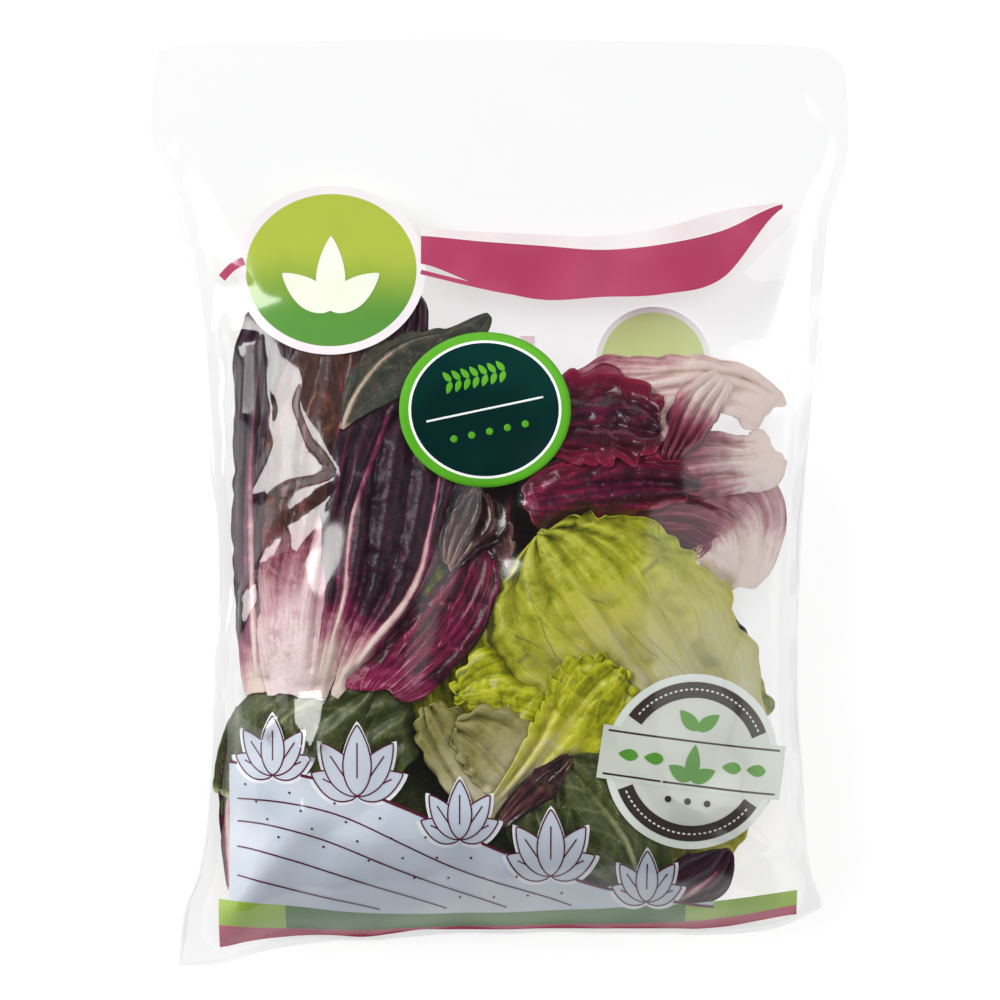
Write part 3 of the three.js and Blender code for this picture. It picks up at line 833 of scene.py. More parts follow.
# The leaves from the top of the heap down: name, kind, seed, spine on the plan from base to tip, half
# widths on both sides of it, and what is its own. Lengths are millimetres.
LEAVES = (
    ("olive_green_leaf", "olive", 3,
     [(-55.8, 25.9), (-50.5, 38), (-41.9, 49.4), (-31.2, 56.5), (-17.7, 60.1), (-3.8, 66.5)],
     [0.7, 5, 6.1, 3.6, 2.1, 1.8], [1.1, 9.3, 16.4, 22.1, 17.8, 4.3],
     dict(level=(0.94, 1, 1))),
    ("curled_red_leaf", "curled", 5,
     [(-18.4, -22.6), (-14.8, -13.3), (-10.5, -4.8), (-7.7, 4.5)],
     [2.9, 7.1, 8.6, 4.3], [3.6, 9.3, 12.1, 5.7],
     {}),
    ("curled_red_tip", "curled", 161,
     [(2.3, -22.6), (3, -14.8), (0.2, -6.2), (-5.5, 1.6)],
     [5, 7.1, 5.7, 2.9], [1.8, 2.1, 2.9, 1.8],
     {}),
    ("chicory_red_low", "magenta", 19,
     [(-41.9, -66.8), (-29.8, -55.4), (-17.7, -42.6), (-9.1, -27.6), (-4.1, -10.5)],
     [11.4, 12.1, 12.8, 10, 4.3], [11.4, 12.1, 11.4, 9.3, 3.6],
     dict(slant=-0.7, cup=-2, folds=(1.2, 4), tone=0, pale=0.22, palest=0.36, rib_show=0.4, ragged=3,
          bumps=(1.6, 9))),
    ("chicory_red_right", "chicory", 17,
     [(-58.3, -68.2), (-46.2, -51.1), (-35.5, -38.3), (-28.4, -25.8), (-24.8, -11.6), (-21.2, 8),
      (-18.4, 29.4), (-14.8, 56.2)],
     [1.4, 7.8, 14.3, 19.2, 21.4, 22.8, 17.8, 7.1], [2.1, 2.9, 3.6, 4.3, 7.1, 11.4, 13.5, 5],
     dict(roll=-2, rib=(1.7, 1.6), pale=0.28, rib_show=1.1)),
    ("chicory_red_middle", "chicory", 23,
     [(-63.3, -68.2), (-59, -49), (-54.4, -31.2), (-53.3, -16.9), (-51.5, -4.4), (-46.9, 9.8),
      (-39.8, 29.4), (-34.8, 50.8), (-31.2, 73.6)],
     [2.9, 4.3, 6.4, 8.6, 10.7, 12.8, 14.3, 10.7, 8.6],
     [2.9, 6.4, 10, 14.3, 19.2, 20.7, 16.4, 11.4, 10.7],
     dict(roll=2, pale=0.3)),
    ("chicory_red_left", "bronze", 29,
     [(-71.8, -68.2), (-70.1, -49), (-67.9, -31.2), (-63.6, -13.3), (-59, 4.5), (-56.2, 29.4),
      (-54.7, 65.8)],
     [11.4, 15, 17.1, 20, 23.5, 25.7, 21.4], [12.8, 12.8, 10.7, 7.1, 5.7, 10.7, 17.8],
     dict(pale=0.62, rib=(3.6, 1.4))),
    ("chicory_red_edge", "chicory", 31,
     [(-85.4, -67.5), (-87.2, -38.3), (-87.9, -6.2), (-87.5, 22.3), (-83.2, 68.6)],
     [5, 6.4, 6.8, 6.8, 12.8], [8.6, 12.8, 14.3, 15, 15.7],
     dict(pale=0.25)),
    ("purple_fold_red", "curled", 59,
     [(-1.3, -113.8), (7.3, -104.2), (15.8, -96), (24.4, -88.9)],
     [2.1, 3.6, 3.9, 2.1], [2.9, 5.7, 6.4, 3.6],
     dict(level=(0.95, 1, 0.97), tone=0, rib_show=0.1, blunt=0.2, ragged=1, folds=(1.2, 8),
          bumps=(0.9, 12), ruffle=(0.8, 18, 0.3))),
    ("green_small", "green", 67,
     [(21.5, -131.7), (16.5, -117.4), (13, -106.7), (17.3, -98.2)],
     [5.7, 12.1, 11.4, 3.6], [5, 10.7, 10.7, 4.3],
     {}),
    ("green_front", "green", 61,
     [(51.5, -139.5), (44.3, -118.8), (32.9, -103.2), (21.5, -90.3)],
     [7.1, 19.2, 20, 7.1], [7.8, 17.1, 16.4, 5.7],
     dict(tone=0.7)),
    ("lettuce_heart", "lettuce", 11,
     [(-4.1, -109.6), (10.1, -94.2), (22.3, -78.9), (32.2, -67.5), (41.5, -56.8)],
     [2.9, 6.4, 10.7, 14.3, 10], [3.6, 10.7, 16.4, 17.8, 11.4],
     dict(cup=4, ruffle=(3.8, 8, 0.35), pale=0.7, rib=(3.4, 1.6), level=(0.9, 0.97, 1))),
    ("lettuce_pale", "pale", 47,
     [(11.6, -108.1), (5.1, -96), (-4.1, -85.3), (-15.5, -78.2)],
     [6.4, 11.4, 12.1, 6.4], [6.4, 14.3, 15, 7.8],
     {}),
    ("lettuce_pale_low", "pale", 151,
     [(-4.8, -108.1), (-13.4, -95.3), (-19.8, -83.2), (-25.5, -71.8)],
     [5, 7.8, 8.6, 5], [7.8, 13.5, 12.8, 7.1],
     dict(tone=0.3)),
    ("lettuce_outer", "dome", 7,
     [(77.1, -113.8), (65.7, -85.3), (47.9, -59), (30.8, -35.4), (18.7, -18.3), (13, -11.2)],
     [5, 15.7, 26.4, 37.1, 27.1, 9.3], [4.3, 32.8, 42.8, 39.2, 25.7, 7.1],
     dict(pale=0.7)),
    ("lettuce_frill", "lettuce", 13,
     [(53.6, -90.3), (35.8, -76.1), (17.3, -66.8), (0.2, -61.8), (-15.5, -67.5)],
     [8.6, 14.3, 16.4, 13.5, 6.4], [10.7, 14.3, 14.3, 12.8, 5.7],
     dict(cup=2, folds=(1.0, 2), ruffle=(4.2, 9, 0.2), bumps=(2.4, 9))),
    ("lettuce_behind", "lettuce", 53,
     [(0.2, -99.6), (-11.3, -81.8), (-17.7, -66.8), (-19.1, -52.5)],
     [11.4, 15, 13.5, 5.7], [10.7, 16.4, 16.4, 8.6],
     dict(tone=0.2, level=0.75)),
    ("lettuce_between", "lettuce", 139,
     [(0.2, -56.1), (-10.5, -34.7), (-17, -16.9), (-13.4, 8)],
     [10.7, 14.3, 12.1, 5.7], [14.3, 17.8, 17.8, 8.6],
     dict(tone=0.1, level=0.8, pale=0.1)),
    ("radicchio_red_front", "ruby", 37,
     [(7.3, 24.4), (23.7, 27.3), (40.1, 28.7), (56.5, 25.9)],
     [8.6, 17.8, 19.2, 12.8], [8.6, 14.3, 15.7, 14.3],
     {}),
    ("radicchio_red_ruby", "ruby", 149,
     [(8.7, 0.2), (30.1, 3.8), (50.1, 6.6), (70, 5.9)],
     [9.3, 12.1, 10.7, 5], [9.3, 12.8, 10.7, 4.3],
     {}),
    ("radicchio_red_fold", "cream", 131,
     [(79.3, 43.7), (72.1, 35.8), (65.7, 25.9), (58.6, 12.3)],
     [4.3, 7.1, 7.1, 2.9], [5, 8.6, 7.1, 2.9],
     dict(pale=0.8, tone=0.3)),
    ("radicchio_red_top", "cream", 41,
     [(97.1, 33), (88.5, 39.4), (73.6, 43), (58.6, 42.3), (40.1, 38.7), (18, 37.3)],
     [12.8, 11.4, 11.4, 19.2, 19.2, 12.8], [6.4, 7.8, 8.6, 9.3, 12.8, 9.3],
     dict(pale=1.3)),
    ("radicchio_red_middle", "cream", 43,
     [(97.1, 18.7), (91.4, 15.2), (83.6, 14.5), (71.4, 13.7), (53.6, 10.9), (32.2, 6.6), (10.8, 3.1)],
     [8.6, 11.4, 12.1, 12.1, 11.4, 11.4, 8.6], [11.4, 10, 9.3, 12.1, 12.8, 14.3, 10],
     dict(roll=2, pale=0.68, fan=7)),
    ("radicchio_red_low", "cream", 47,
     [(87.1, -29.7), (87.8, -16.9), (84.3, -5.5), (71.4, 0.9), (53.6, 2.3), (32.2, 0.9)],
     [14.3, 20, 19.2, 16.4, 12.8, 7.1], [5, 12.1, 17.8, 15, 12.1, 8.6],
     dict(tone=0.3, pale=0.62, fan=7)),
    ("green_left", "green", 71,
     [(-96.1, -106), (-84.7, -86), (-68.3, -71.1), (-44.8, -63.2)],
     [7.1, 14.3, 12.8, 6.4], [10, 21.4, 21.4, 9.3],
     {}),
    ("green_left_low", "green", 73,
     [(-71.1, -118.8), (-58.7, -97.8), (-43.3, -82.8), (-24.8, -70.4)],
     [7.1, 15.7, 16.4, 7.8], [7.8, 15.7, 15.7, 7.1],
     dict(tone=0.35)),
    ("purple_low_red", "chicory", 79,
     [(57.9, -143.8), (66.4, -138.8), (75.7, -131.7), (81.4, -122.4)],
     [6.4, 12.8, 12.1, 5], [4.3, 7.8, 7.1, 3.6],
     dict(pale=0.01, tone=0.1)),
    ("purple_edge_red", "chicory", 83,
     [(-94.6, -137.4), (-96.4, -113.8), (-95.7, -92.5), (-92.5, -72.5)],
     [2.1, 3.2, 3.6, 1.8], [5, 10.7, 9.3, 4.3],
     dict(pale=0.05, ruffle=(0.6, 20, 0.3))),
    ("inner_red_left", "chicory", 89,
     [(-74.7, -73.9), (-67.6, -34.7), (-58.7, 8), (-46.2, 50.8)],
     [14.3, 24.9, 25.7, 12.8], [14.3, 24.9, 27.1, 15.7],
     dict(level=0.5)),
    ("inner_red_middle", "chicory", 97,
     [(-17.7, -77.5), (-3.4, -41.9), (3.7, 0.9), (7.3, 40.1)],
     [17.8, 28.5, 27.1, 14.3], [17.8, 28.5, 27.8, 15.7],
     dict(level=0.45, tone=0.1, pale=0.1)),
    ("inner_red_head", "radicchio", 91,
     [(80, -9.8), (57.2, 4.5), (32.2, 14.5), (3.7, 20.5)],
     [10.7, 22.1, 23.5, 17.8], [9.3, 23.5, 27.1, 19.2],
     dict(level=0.55, tone=0.1, pale=0.2)),
    ("inner_lettuce", "lettuce", 101,
     [(53.6, -138.1), (58.6, -98.9), (53.6, -59.7), (42.9, -20.5)],
     [21.4, 37.1, 38.5, 19.2], [17.8, 35.6, 35.6, 17.1],
     dict(level=0.5, tone=0.3)),
    ("back_green_left", "green", 103,
     [(-64, -145.9), (-56.9, -116.7), (-46.2, -88.2), (-28.4, -56.1)],
     [28.5, 42.8, 39.2, 17.8], [28.5, 39.2, 35.6, 17.8],
     dict(level=0.3)),
    ("back_green_middle", "green", 107,
     [(14.4, -148.1), (16.2, -120.3), (7.3, -91.7), (-3.4, -59.7)],
     [28.5, 39.2, 35.6, 17.8], [28.5, 39.2, 35.6, 17.8],
     dict(level=0.3, tone=0.3)),
    ("back_red_right", "chicory", 109,
     [(77.1, -123.8), (79.3, -106), (76.4, -77.5), (73.6, -49), (72.9, -34.7)],
     [17.8, 24.9, 29.9, 28.5, 14.3], [4.3, 10, 14.3, 14.3, 5.7],
     dict(level=0.3)),
    ("back_lettuce", "lettuce", 113,
     [(-28.4, -91.7), (-10.5, -63.2), (21.5, -34.7), (57.2, -6.2)],
     [21.4, 35.6, 35.6, 17.8], [21.4, 35.6, 35.6, 17.8],
     dict(level=0.15, tone=0.3)),
    ("back_red_left", "bronze", 127,
     [(-81.8, -56.1), (-66.8, -24), (-48.3, 11.6), (-24.8, 47.2)],
     [12.8, 21.4, 22.1, 14.3], [17.8, 32.1, 32.1, 17.8],
     dict(level=0.15, pale=0.3)),
)


# Print

def on_film(x, y, lift, side):
    """Heights on the film's front or back, moved up by a lift."""
    return np.array([(plumb(film_tree, a, b, side) or 0) + lift for a, b in zip(x, y)])


def fielded(bm, place, across, along, lift, side=FRONT):
    """Adds to bm a grid laid on the film: place gives its plan from the shares across and along."""
    part, s, t = grid(across, along)
    x, y = place((s + 1) / 2, t)
    placed(part, np.stack([x, y, on_film(x, y, lift, side)], axis=1))
    mesh = bpy.data.meshes.new("part")
    part.to_mesh(mesh)
    part.free()
    bm.from_mesh(mesh)
    bpy.data.meshes.remove(mesh)


def between(low, high, left, right):
    """A field between two curves, each through evenly spaced heights from left to right."""
    def place(s, t):
        x = (left + (right - left) * s) * MM
        return x, (through(low, s) * (1 - t) + through(high, s) * t) * MM
    return place


def ring(middle, inner, outer, start=0.0, end=360.0):
    """A ring, or part of one, between two ellipses of the given half sizes."""
    def place(s, t):
        angle = np.radians(start + (end - start) * s)
        wide = inner[0] * (1 - t) + outer[0] * t
        long = inner[1] * (1 - t) + outer[1] * t
        return (middle[0] + wide * np.cos(angle)) * MM, (middle[1] + long * np.sin(angle)) * MM
    return place


def disc(middle, size):
    """A whole ellipse of the given half sizes."""
    return ring(middle, (0.1, 0.1), size)


def dot(middle, radius):
    """A small round dot."""
    return ring(middle, (0.02, 0.02), (radius, radius))


def stroke(points, width):
    """A line of the given width through points."""
    def place(s, t):
        middle = through(points, t)
        ahead = through(points, np.clip(t + 0.02, 0, 1)) - through(points, np.clip(t - 0.02, 0, 1))
        ahead /= np.linalg.norm(ahead, axis=1)[:, None]
        out = (s - 0.5) * width
        return (middle[:, 0] - ahead[:, 1] * out) * MM, (middle[:, 1] + ahead[:, 0] * out) * MM
    return place


def printed(name, material, fields, layer, side=FRONT):
    """One piece of print from (place, across, along) fields; a higher layer lies over a lower one.

    Each field lies a little over the last, so that no two that cross share one height.
    """
    bm = bmesh.new()
    for k, (place, across, along) in enumerate(fields):
        inwards = PRINT_DEPTH + (TOP_LAYER - layer) * LAYER_STEP - FIELD_RISE * (k % FIELDS_HIGH)
        fielded(bm, place, across, along, -side * inwards, side)
    bmesh.ops.remove_doubles(bm, verts=bm.verts, dist=WELD)
    face_up(bm)
    return finished(new_piece(name, bm, material))


class Petal:
    """A pointed leaf shape from its base, turned anticlockwise from straight up."""

    def __init__(self, base, angle, length, half):
        turn = math.radians(angle)
        self.base, self.length, self.half = np.array(base, float), length, half
        self.ahead = np.array([-math.sin(turn), math.cos(turn)])
        self.side = np.array([self.ahead[1], -self.ahead[0]])

    def width(self, t):
        """Half its width at a share of its length."""
        return self.half * np.sin(np.pi * np.clip(t, 0, 1) ** 0.8) ** 0.8

    def __call__(self, s, t):
        """Its plan from the shares across and along, as the other fields give it."""
        wide = (2 * s - 1) * self.width(t)
        spots = self.base + np.outer(self.length * t, self.ahead) + np.outer(wide, self.side)
        return spots[:, 0] * MM, spots[:, 1] * MM

    def holds(self, spots):
        """Which spots lie inside it."""
        away = spots - self.base
        along = away @ self.ahead / self.length
        return (along > 0.02) & (along < 0.98) & (np.abs(away @ self.side) < self.width(along) * 0.97)


def seen_runs(spots, cover):
    """The runs of a line's points that no shape in cover hides."""
    seen = np.ones(len(spots), bool)
    for shape in cover:
        seen &= ~shape.holds(spots)
    runs, start = [], None
    for k, clear in enumerate(list(seen) + [False]):
        if clear and start is None:
            start = k
        if not clear and start is not None:
            if k - start > 2:
                runs.append(spots[start:k])
            start = None
    return runs


def drawn_petals(petals, width):
    """Strokes along the sides and middle of each petal, where no later petal lies over them."""
    shares = np.linspace(0, 1, 26)
    lines = []
    for k, shape in enumerate(petals):
        for s, first, last in ((0.0, 0, 1), (1.0, 0, 1), (0.5, 0.25, 0.75)):
            x, y = shape(np.full_like(shares, s), first + shares * (last - first))
            for run in seen_runs(np.stack([x, y], axis=1) / MM, petals[k + 1:]):
                lines.append((stroke(run, width), 1, 2 * len(run)))
    return lines


def sprout(base, size, angles=(-64, 64, -34, 34, 0)):
    """The petals of a young plant, the outer ones first."""
    reach = {0: 1.0, 34: 0.9, 64: 0.72}
    return [Petal(base, angle, size * reach[abs(angle)], size * 0.2) for angle in angles]


# The foot's print in millimetres: its sides, and heights evenly spaced from left to right
PRINT_LEFT, PRINT_RIGHT = -100, 106
HILL_LEFT, HILL_RIGHT = -96, 76
HILL = [-92, -95, -100, -108, -118, -127, -135, -140, -143.5]
BAND_TOP = [-141, -143, -145.5, -146, -145.5, -144.5, -143, -141, -138]
BAND_LOW = [-150.5, -152, -152.5, -151.5, -151, -150.5, -150, -148, -143.5]
RED_LOW = [-160, -158.5, -156.5, -154.5, -153.5, -153.5, -153, -151.5, -147]


def along_print(knots, x):
    """A height at x on a curve that runs the width of the print."""
    return through(knots, (np.asarray(x, float) - PRINT_LEFT) / (PRINT_RIGHT - PRINT_LEFT))


# How high the film must stand where print starts at the foot, and the margin left below it
OPEN_FILM, FOOT_MARGIN = 2.5, 1.0


def film_foot():
    """The lowest that the print may come, just inside the film's foot, from left to right."""
    rows = np.arange(-166.0, -130.0, 0.25)
    places = np.linspace(PRINT_LEFT, PRINT_RIGHT, 81)
    x, y = (a.ravel() for a in np.meshgrid(places, rows, indexing="ij"))
    open_film = (front_film.at(x * MM, y * MM) > OPEN_FILM * MM).reshape(-1, len(rows))
    edge = rows[np.argmax(open_film, axis=1)] + FOOT_MARGIN
    reach = 3
    return [edge[max(k - reach, 0):k + reach + 1].max() for k in range(0, len(places), 4)]


def band(low, high, left, right):
    """Part of a field between two of the foot's curves, from left to right."""
    def place(s, t):
        x = left + (right - left) * s
        edge = along_print(FOOT, x)
        bottom, top = (np.maximum(along_print(knots, x), edge) for knots in (low, high))
        return x * MM, (bottom * (1 - t) + top * t) * MM
    return place


def hill(x):
    """Height of the printed hill's line at x."""
    return through(HILL, (np.asarray(x, float) - HILL_LEFT) / (HILL_RIGHT - HILL_LEFT))


def hill_field(s, t):
    """The pale field from the bands up to the hill's line."""
    x = HILL_LEFT + (HILL_RIGHT - HILL_LEFT) * s
    return x * MM, (along_print(BAND_TOP, x) * (1 - t) + hill(x) * t) * MM


# The rows that follow the hill's line: how many, the first one's depth under it and their spacing
HILL_ROWS, ROW_DEPTH, ROW_STEP = 4, 12, 9.5

# The dots between the rows: how many, their spacing, the first one's depth and the drop to the next
HILL_DOTS, DOT_STEP, DOT_DEPTH, DOT_DROP = 40, 4.0, 7, 5.5


def hill_lines(petals):
    """The hill's own line, the rows that run along it and the dots between them."""
    across = np.linspace(HILL_LEFT, HILL_RIGHT, 120)
    lines = [(stroke(run, 1.0), 1, 2 * len(run))
             for run in seen_runs(np.stack([across, hill(across)], axis=1), petals)]
    lines += drawn_petals(petals, 0.5)
    for row in range(HILL_ROWS):
        x = np.linspace(HILL_LEFT + 3, HILL_RIGHT - 6 - 8 * row, 100)
        y = hill(x) - ROW_DEPTH - ROW_STEP * row + 1.5 * np.sin(x / 14 + row)
        on_field = y > along_print(BAND_TOP, x) + 1.5
        for run in seen_runs(np.stack([x, y], axis=1)[on_field], petals):
            lines.append((stroke(run, 0.55), 1, len(run)))
    for k in range(HILL_DOTS):
        x = HILL_LEFT + 6 + DOT_STEP * k
        y = float(hill([x])[0]) - DOT_DEPTH - DOT_DROP * (k % 4)
        if y > along_print(BAND_TOP, [x])[0] + 2:
            lines.append((dot((x, y), 0.45), 10, 1))
    return lines


# Where each plant on the hill stands, and its size
PLANTS = ((-80, 21), (-50, 25), (-14, 21), (18, 24), (52, 19))


def bottom_print():
    """The printed foot of the bag: a pale hill with young plants, and two bands under it."""
    pale = ink_material("pale_blue_ink", (196, 206, 220), (210, 218, 230))
    white = ink_material("pale_edge_ink", (226, 230, 236), (236, 240, 244))
    # A brighter copy of the band's green, painted light for its ends.
    green = ink_material("green_ink", (60, 112, 48), (84, 134, 62))
    bright = ink_material("green_ink_painted_backlight", (146, 184, 56), (166, 198, 80))
    red = ink_material("red_ink", (188, 70, 100), (200, 88, 114))
    maroon = ink_material("maroon_ink", (84, 18, 44), (96, 22, 52))
    printed("pale_field", pale, [(hill_field, 150, 44)], 1)
    # The band's two ends are a brighter copy of its green: painted light for light coming through the
    # film where no leaves lie behind.
    for name, ink, left, right in (("green_band_left", bright, PRINT_LEFT, -76),
                                   ("green_band", green, -76, 66),
                                   ("green_band_right", bright, 66, PRINT_RIGHT)):
        across = int((right - left) * 0.83)
        printed(name, ink, [(band(BAND_LOW, BAND_TOP, left, right), across, 10)], 1)
    printed("red_band", red, [(band(RED_LOW, BAND_LOW, PRINT_LEFT, PRINT_RIGHT), 170, 8)], 1)
    plants = [(x, float(hill([x])[0]) - 2, size) for x, size in PLANTS]
    petals = [shape for x, y, size in plants for shape in sprout((x, y), size)]
    edges = [shape for x, y, size in plants for shape in sprout((x, y - 1.2), size + 2.6)]
    printed("sprout_edges", white, [(shape, 10, 24) for shape in edges], 1.4)
    printed("sprout_fills", pale, [(shape, 10, 24) for shape in petals], 2)
    printed("drawn_lines", maroon, hill_lines(petals), 3)


# The oval's middle and the half sizes of its field and rim in millimetres
OVAL = (-59.9, 82.7)
OVAL_FIELD, OVAL_RIM = (30.4, 27.4), (33.6, 30.4)


def oval_print():
    """The green oval at the upper left, with a plain three-leaved sprig."""
    rim = ink_material("pale_rim_ink", (240, 232, 236), (246, 240, 242))
    green = ink_material("oval_green_ink", (90, 150, 62), (178, 194, 72), 0.064, 0.092)
    sprig = ink_material("oval_sprig_ink", (242, 246, 226), (248, 250, 238))
    printed("oval_rim", rim, [(ring(OVAL, OVAL_FIELD, OVAL_RIM), 96, 2)], 1)
    printed("oval_field", green, [(disc(OVAL, OVAL_FIELD), 128, 28)], 1)
    base = (-60, 68)
    blades = [Petal(base, angle, length, 5.2) for angle, length in ((52, 22), (-52, 22), (0, 27))]
    printed("oval_sprig", sprig, [(shape, 10, 20) for shape in blades], 2.6)


# The banner in millimetres: its sides, and heights evenly spaced from left to right
BANNER_LEFT, BANNER_RIGHT = -28, 101
BANNER_LOW = [85, 77, 72, 73, 74, 80, 105]
BANNER_HIGH = [95, 93, 91.5, 90, 92, 97, 106.5]
BANNER_LIGHT = [97.5, 96.5, 95.5, 95, 98, 104, 107]


def banner_print():
    """The red banner that sweeps from the oval to a point at the right, with a painted highlight along
    its top.
    """
    red = ink_material("banner_red_ink", (176, 62, 100), (186, 76, 112))
    pale = ink_material("banner_painted_highlight", (240, 226, 230), (248, 240, 242))
    field = between(BANNER_LOW, BANNER_HIGH, BANNER_LEFT, BANNER_RIGHT)
    printed("banner", red, [(field, 120, 14),
                            (stroke([(-28, 82), (-14, 78.5), (0, 75.4), (15, 73)], 1.6), 2, 40),
                            (stroke([(-99, 80), (-95, 84), (-91, 86)], 3.0), 2, 14)], 2)
    # A pale band just above the banner, as a painted highlight.
    edge = [low + 0.4 for low in BANNER_HIGH]
    light = between(edge, BANNER_LIGHT, BANNER_LEFT, BANNER_RIGHT)
    printed("banner_highlight", pale, [(light, 120, 5)], 1)


# The seal's middle in millimetres, and how far it is turned in degrees
SEAL = (67.9, -91.0)
SEAL_TURN = -8

# Its radii: the disc and its rim, and both sides of the dark ring and of the stitches on it
SEAL_DISC, SEAL_RIM = 28.5, 31
SEAL_RING = (22.6, 28.2)
SEAL_STITCH = (25.3, 25.9)

# Where the two parts of the dark ring start and end, in degrees
SEAL_ARCS = ((28, 152), (208, 332))


def on_seal(shape):
    """A shape drawn upright round the seal's middle, turned with the seal."""
    turn = math.radians(SEAL_TURN)

    def place(s, t):
        x, y = shape(s, t)
        return (SEAL[0] * MM + x * math.cos(turn) - y * math.sin(turn),
                SEAL[1] * MM + x * math.sin(turn) + y * math.cos(turn))
    return place


def seal_band(inner, outer, start=0.0, end=360.0):
    """A round band about the seal's middle, or part of one, between two radii."""
    return on_seal(ring((0, 0), (inner, inner), (outer, outer), start, end))


def seal_print():
    """The pale round seal: a dark stitched ring, a plain ribbon and a small plant."""
    pale = ink_material("seal_pale_ink", (214, 220, 208), (224, 228, 218))
    rim = ink_material("seal_rim_ink", (226, 234, 226), (234, 240, 234))
    dark = ink_material("seal_dark_ink", (58, 46, 46), (68, 56, 54))
    green = ink_material("seal_green_ink", (86, 150, 52), (104, 166, 64))
    printed("seal_rim", rim, [(seal_band(SEAL_DISC, SEAL_RIM), 96, 2)], 1.0)
    printed("seal_disc", pale, [(seal_band(0.1, SEAL_DISC), 128, 28)], 1.0)
    arcs = [(seal_band(*SEAL_RING, *arc), 60, 3) for arc in SEAL_ARCS]
    printed("seal_ring", dark, arcs, 2.2)
    stitches = [(seal_band(*SEAL_STITCH, turn, turn + 2.2), 2, 1)
                for start, end in SEAL_ARCS for turn in np.arange(start + 3, end - 4, 4.2)]
    printed("seal_stitches", rim, stitches, 2.8)
    ribbon = between([-10, -10, -10], [9, 9, 9], -33, 33)
    printed("seal_ribbon", pale, [(on_seal(ribbon), 66, 20)], 2.1)
    rules = [(on_seal(stroke([(-31, y), (0, y), (31, y)], 0.7)), 1, 30) for y in (-8.2, 7.2)]
    rules += [(on_seal(dot((x, -14), 1.2)), 14, 1) for x in (-7, 0, 7)]
    printed("seal_rules", dark, rules, 3)
    plant = [Petal((0, -6.6), angle, size, 2.6) for angle, size in ((-62, 9.5), (62, 9.5), (0, 12.8))]
    pair = [Petal((0, 11.2), angle, 9.5, 2.4) for angle in (-48, 48)]
    leaf_row = [Petal((x, -0.5), 90, 7, 2.1) for x in (-19.5, -10.5, 17.5, 26.5)]
    printed("seal_plant", green, [(on_seal(shape), 8, 16) for shape in plant + pair + leaf_row], 3)


def rear_print():
    """What shows of the back film's print: a pale green ellipse with its rim and a small pink field."""
    green = ink_material("rear_green_ink", (204, 220, 150), (212, 228, 168))
    pink = ink_material("rear_pink_ink", (240, 214, 222), (246, 228, 232))
    white = ink_material("rear_white_ink", (240, 242, 240), (246, 248, 246))
    middle = (55.0, 50.1)
    printed("rear_oval", green, [(disc(middle, (18.6, 18.0)), 72, 10)], 2, BACK)
    printed("rear_rim", white, [(ring(middle, (18.6, 18.0), (20.7, 20.0)), 72, 2)], 2, BACK)
    printed("rear_corner", pink, [(between([56.2, 56.2], [59.7, 59.7], 7.3, 12.6), 6, 4)], 2, BACK)


# Half sizes of the label's ellipses in millimetres, from its middle out, and its turn in degrees
LABEL_EDGES = ((0.1, 0.1), (26, 23.6), (26.9, 24.5), (30.2, 27.5))
LABEL_TURN = 12


def label_parts():
    """The label's fields with their cells, lift and ink: its rings, then a rule, a sprig and dots."""
    centre = frame_middle("round_label") / MM
    middle = np.array((centre.x, centre.y))
    turned = math.radians(LABEL_TURN)
    reach = np.array([math.cos(turned), math.sin(turned)])
    up = np.array([-reach[1], reach[0]])
    dark, white, bright = 0, 1, 2
    drawn = LABEL_TOP + LABEL_INK
    parts = [(ring(middle, LABEL_EDGES[k], LABEL_EDGES[k + 1]), 96, cells, LABEL_TOP, ink)
             for k, (cells, ink) in enumerate(((14, dark), (1, white), (2, bright)))]
    rule = [middle + reach * along for along in (-21, 0, 21)]
    parts.append((stroke(rule, 0.7), 1, 20, drawn, white))
    for k in range(-3, 4):
        for angle in (30, 150):
            petal = Petal(middle + reach * k * 3.2 + up * 12, angle + LABEL_TURN, 4.6, 1.1)
            parts.append((petal, 4, 8, drawn, bright))
    for k in range(-2, 3):
        parts.append((dot(middle + reach * k * 6.4 - up * 8, 1.3), 14, 1, drawn, bright))
    return parts


def label_piece():
    """The round label: dark green with a bright rim, a thin white line, a sprig and a rule."""
    dark = ink_material("label_dark_green", (2, 36, 34), (5, 50, 46))
    bright = ink_material("label_bright_green", (84, 164, 36), (98, 176, 50))
    white = ink_material("label_white", (240, 244, 240), (248, 250, 248))
    bm = bmesh.new()
    for place, across, along, lift, ink in label_parts():
        before = len(bm.faces)
        fielded(bm, place, across, along, lift)
        for face in list(bm.faces)[before:]:
            face.material_index = ink
    face_up(bm)
    bmesh.ops.remove_doubles(bm, verts=bm.verts, dist=WELD)
    label = new_piece("label", bm, dark)
    label.data.materials.append(white)
    label.data.materials.append(bright)
    walled(label, LABEL_THICKNESS)
    return finished(label, "round_label")


# Stage

# Each light's name, place, size, power and colour
LIGHTS = (
    ("key", (-1.34, 0.67, 0.92), (1.0, 1.0), 26.0, (1.0, 0.99, 0.98)),
    ("fill", (1.6, 0.1, 1.1), (2.2, 2.2), 15.0, (0.97, 0.98, 1.0)),
    ("overhead", (0.3, 0.5, 2.0), (0.8, 0.8), 16.0, (1, 1, 1)),
)


def floor_piece():
    """A wide white table just under the bag."""
    bm = bmesh.new()
    bmesh.ops.create_grid(bm, x_segments=8, y_segments=8, size=3)
    for vertex in bm.verts:
        vertex.co.z = -0.4 * MM
    floor = new_piece("floor", bm, floor_material())


def lamp(name, place, size, power, tint):
    """A soft square light that looks at the bag. The overhead one isn't mirrored in the film."""
    light = bpy.data.lights.new(name, "AREA")
    light.shape = "RECTANGLE"
    light.size, light.size_y = size
    light.energy, light.color = power, tint
    holder = bpy.data.objects.new(name, light)
    holder.location = place
    holder.visible_glossy = name != "overhead"
    holder.rotation_euler = (-Vector(place)).to_track_quat("-Z", "Y").to_euler()
    bpy.context.scene.collection.objects.link(holder)


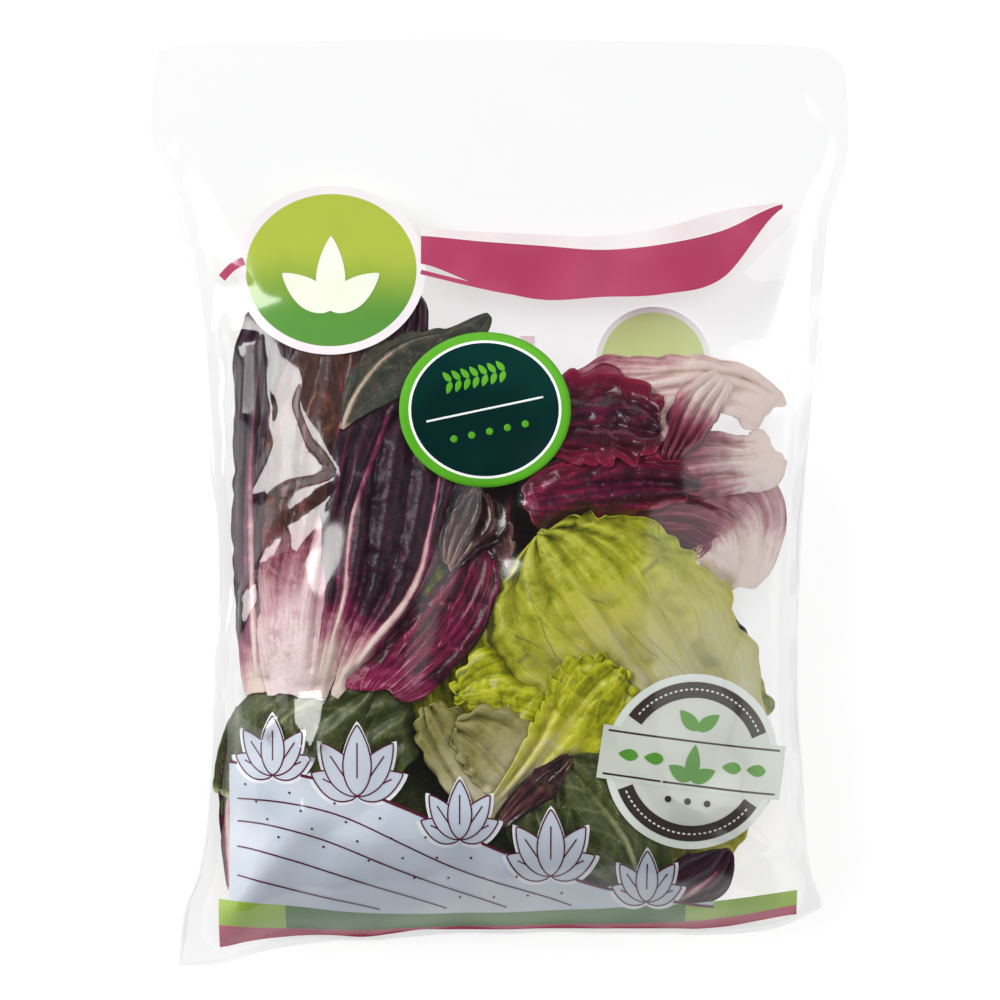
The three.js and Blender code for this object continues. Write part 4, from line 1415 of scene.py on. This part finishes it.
def stage():
    """The table, the lights and a faint white glow all round."""
    floor_piece()
    for settings in LIGHTS:
        lamp(*settings)
    world = bpy.data.worlds.new("studio")
    world.use_nodes = True
    glow = world.node_tree.nodes["Background"]
    glow.inputs["Color"].default_value = (1, 1, 1, 1)
    glow.inputs["Strength"].default_value = 0.1
    bpy.context.scene.world = world
    bpy.context.scene.view_settings.view_transform = "Standard"


def camera():
    """Straight above, with the bag's top at the top of the picture."""
    distance, plane, shown = 2.6, 12 * MM, 356.4 * MM
    lens = bpy.data.cameras.new("camera")
    lens.sensor_width = 36
    lens.lens = lens.sensor_width * (distance - plane) / shown
    holder = bpy.data.objects.new("camera", lens)
    holder.location = (0.15 * MM, 0.9 * MM, distance)
    bpy.context.scene.collection.objects.link(holder)
    bpy.context.scene.camera = holder


# The film and what is inside it, then the print, the label and the stage
camera()
film = film_piece()
film_tree, front_film, back_film = film_heights(film)
roof = Ground()
roof.heights = front_film.heights - LEAF_CLEARANCE
swell = front_film.blurred(60)
FOOT = film_foot()
LOOKS = {
    "chicory": leaf_material("red_leaf", RED_LEAF, gloss=0.38, glow=0.1),
    "bronze": leaf_material("bronze_leaf", BRONZE_LEAF, gloss=0.34, glow=0.1),
    "magenta": leaf_material("magenta_leaf", MAGENTA_LEAF, gloss=0.3, glow=0.12),
    "radicchio": leaf_material("radicchio_leaf", MAGENTA_LEAF, gloss=0.32, glow=0.25),
    "ruby": leaf_material("ruby_radicchio_leaf", RUBY_LEAF, gloss=0.28, glow=0.15),
    "cream": leaf_material("cream_radicchio_leaf", CREAM_LEAF, gloss=0.36, glow=0.3),
    "lettuce": leaf_material("lettuce_leaf", LETTUCE, gloss=0.36, glow=0.25),
    "dome": leaf_material("dome_lettuce_leaf", DOME_LETTUCE, gloss=0.4, glow=0.25),
    "pale": leaf_material("pale_lettuce_leaf", PALE_LETTUCE, gloss=0.4, glow=0.3),
    "curled": leaf_material("curled_leaf", CURLED_LEAF, gloss=0.25, glow=0.08),
    "green": leaf_material("green_leaf", GREEN_LEAF, gloss=0.4, glow=0.12),
    "olive": leaf_material("olive_leaf", OLIVE_LEAF, gloss=0.4, glow=0.1),
}
for row in LEAVES:
    leaf(*row)
bottom_print()
oval_print()
banner_print()
seal_print()
rear_print()
label_piece()
stage()
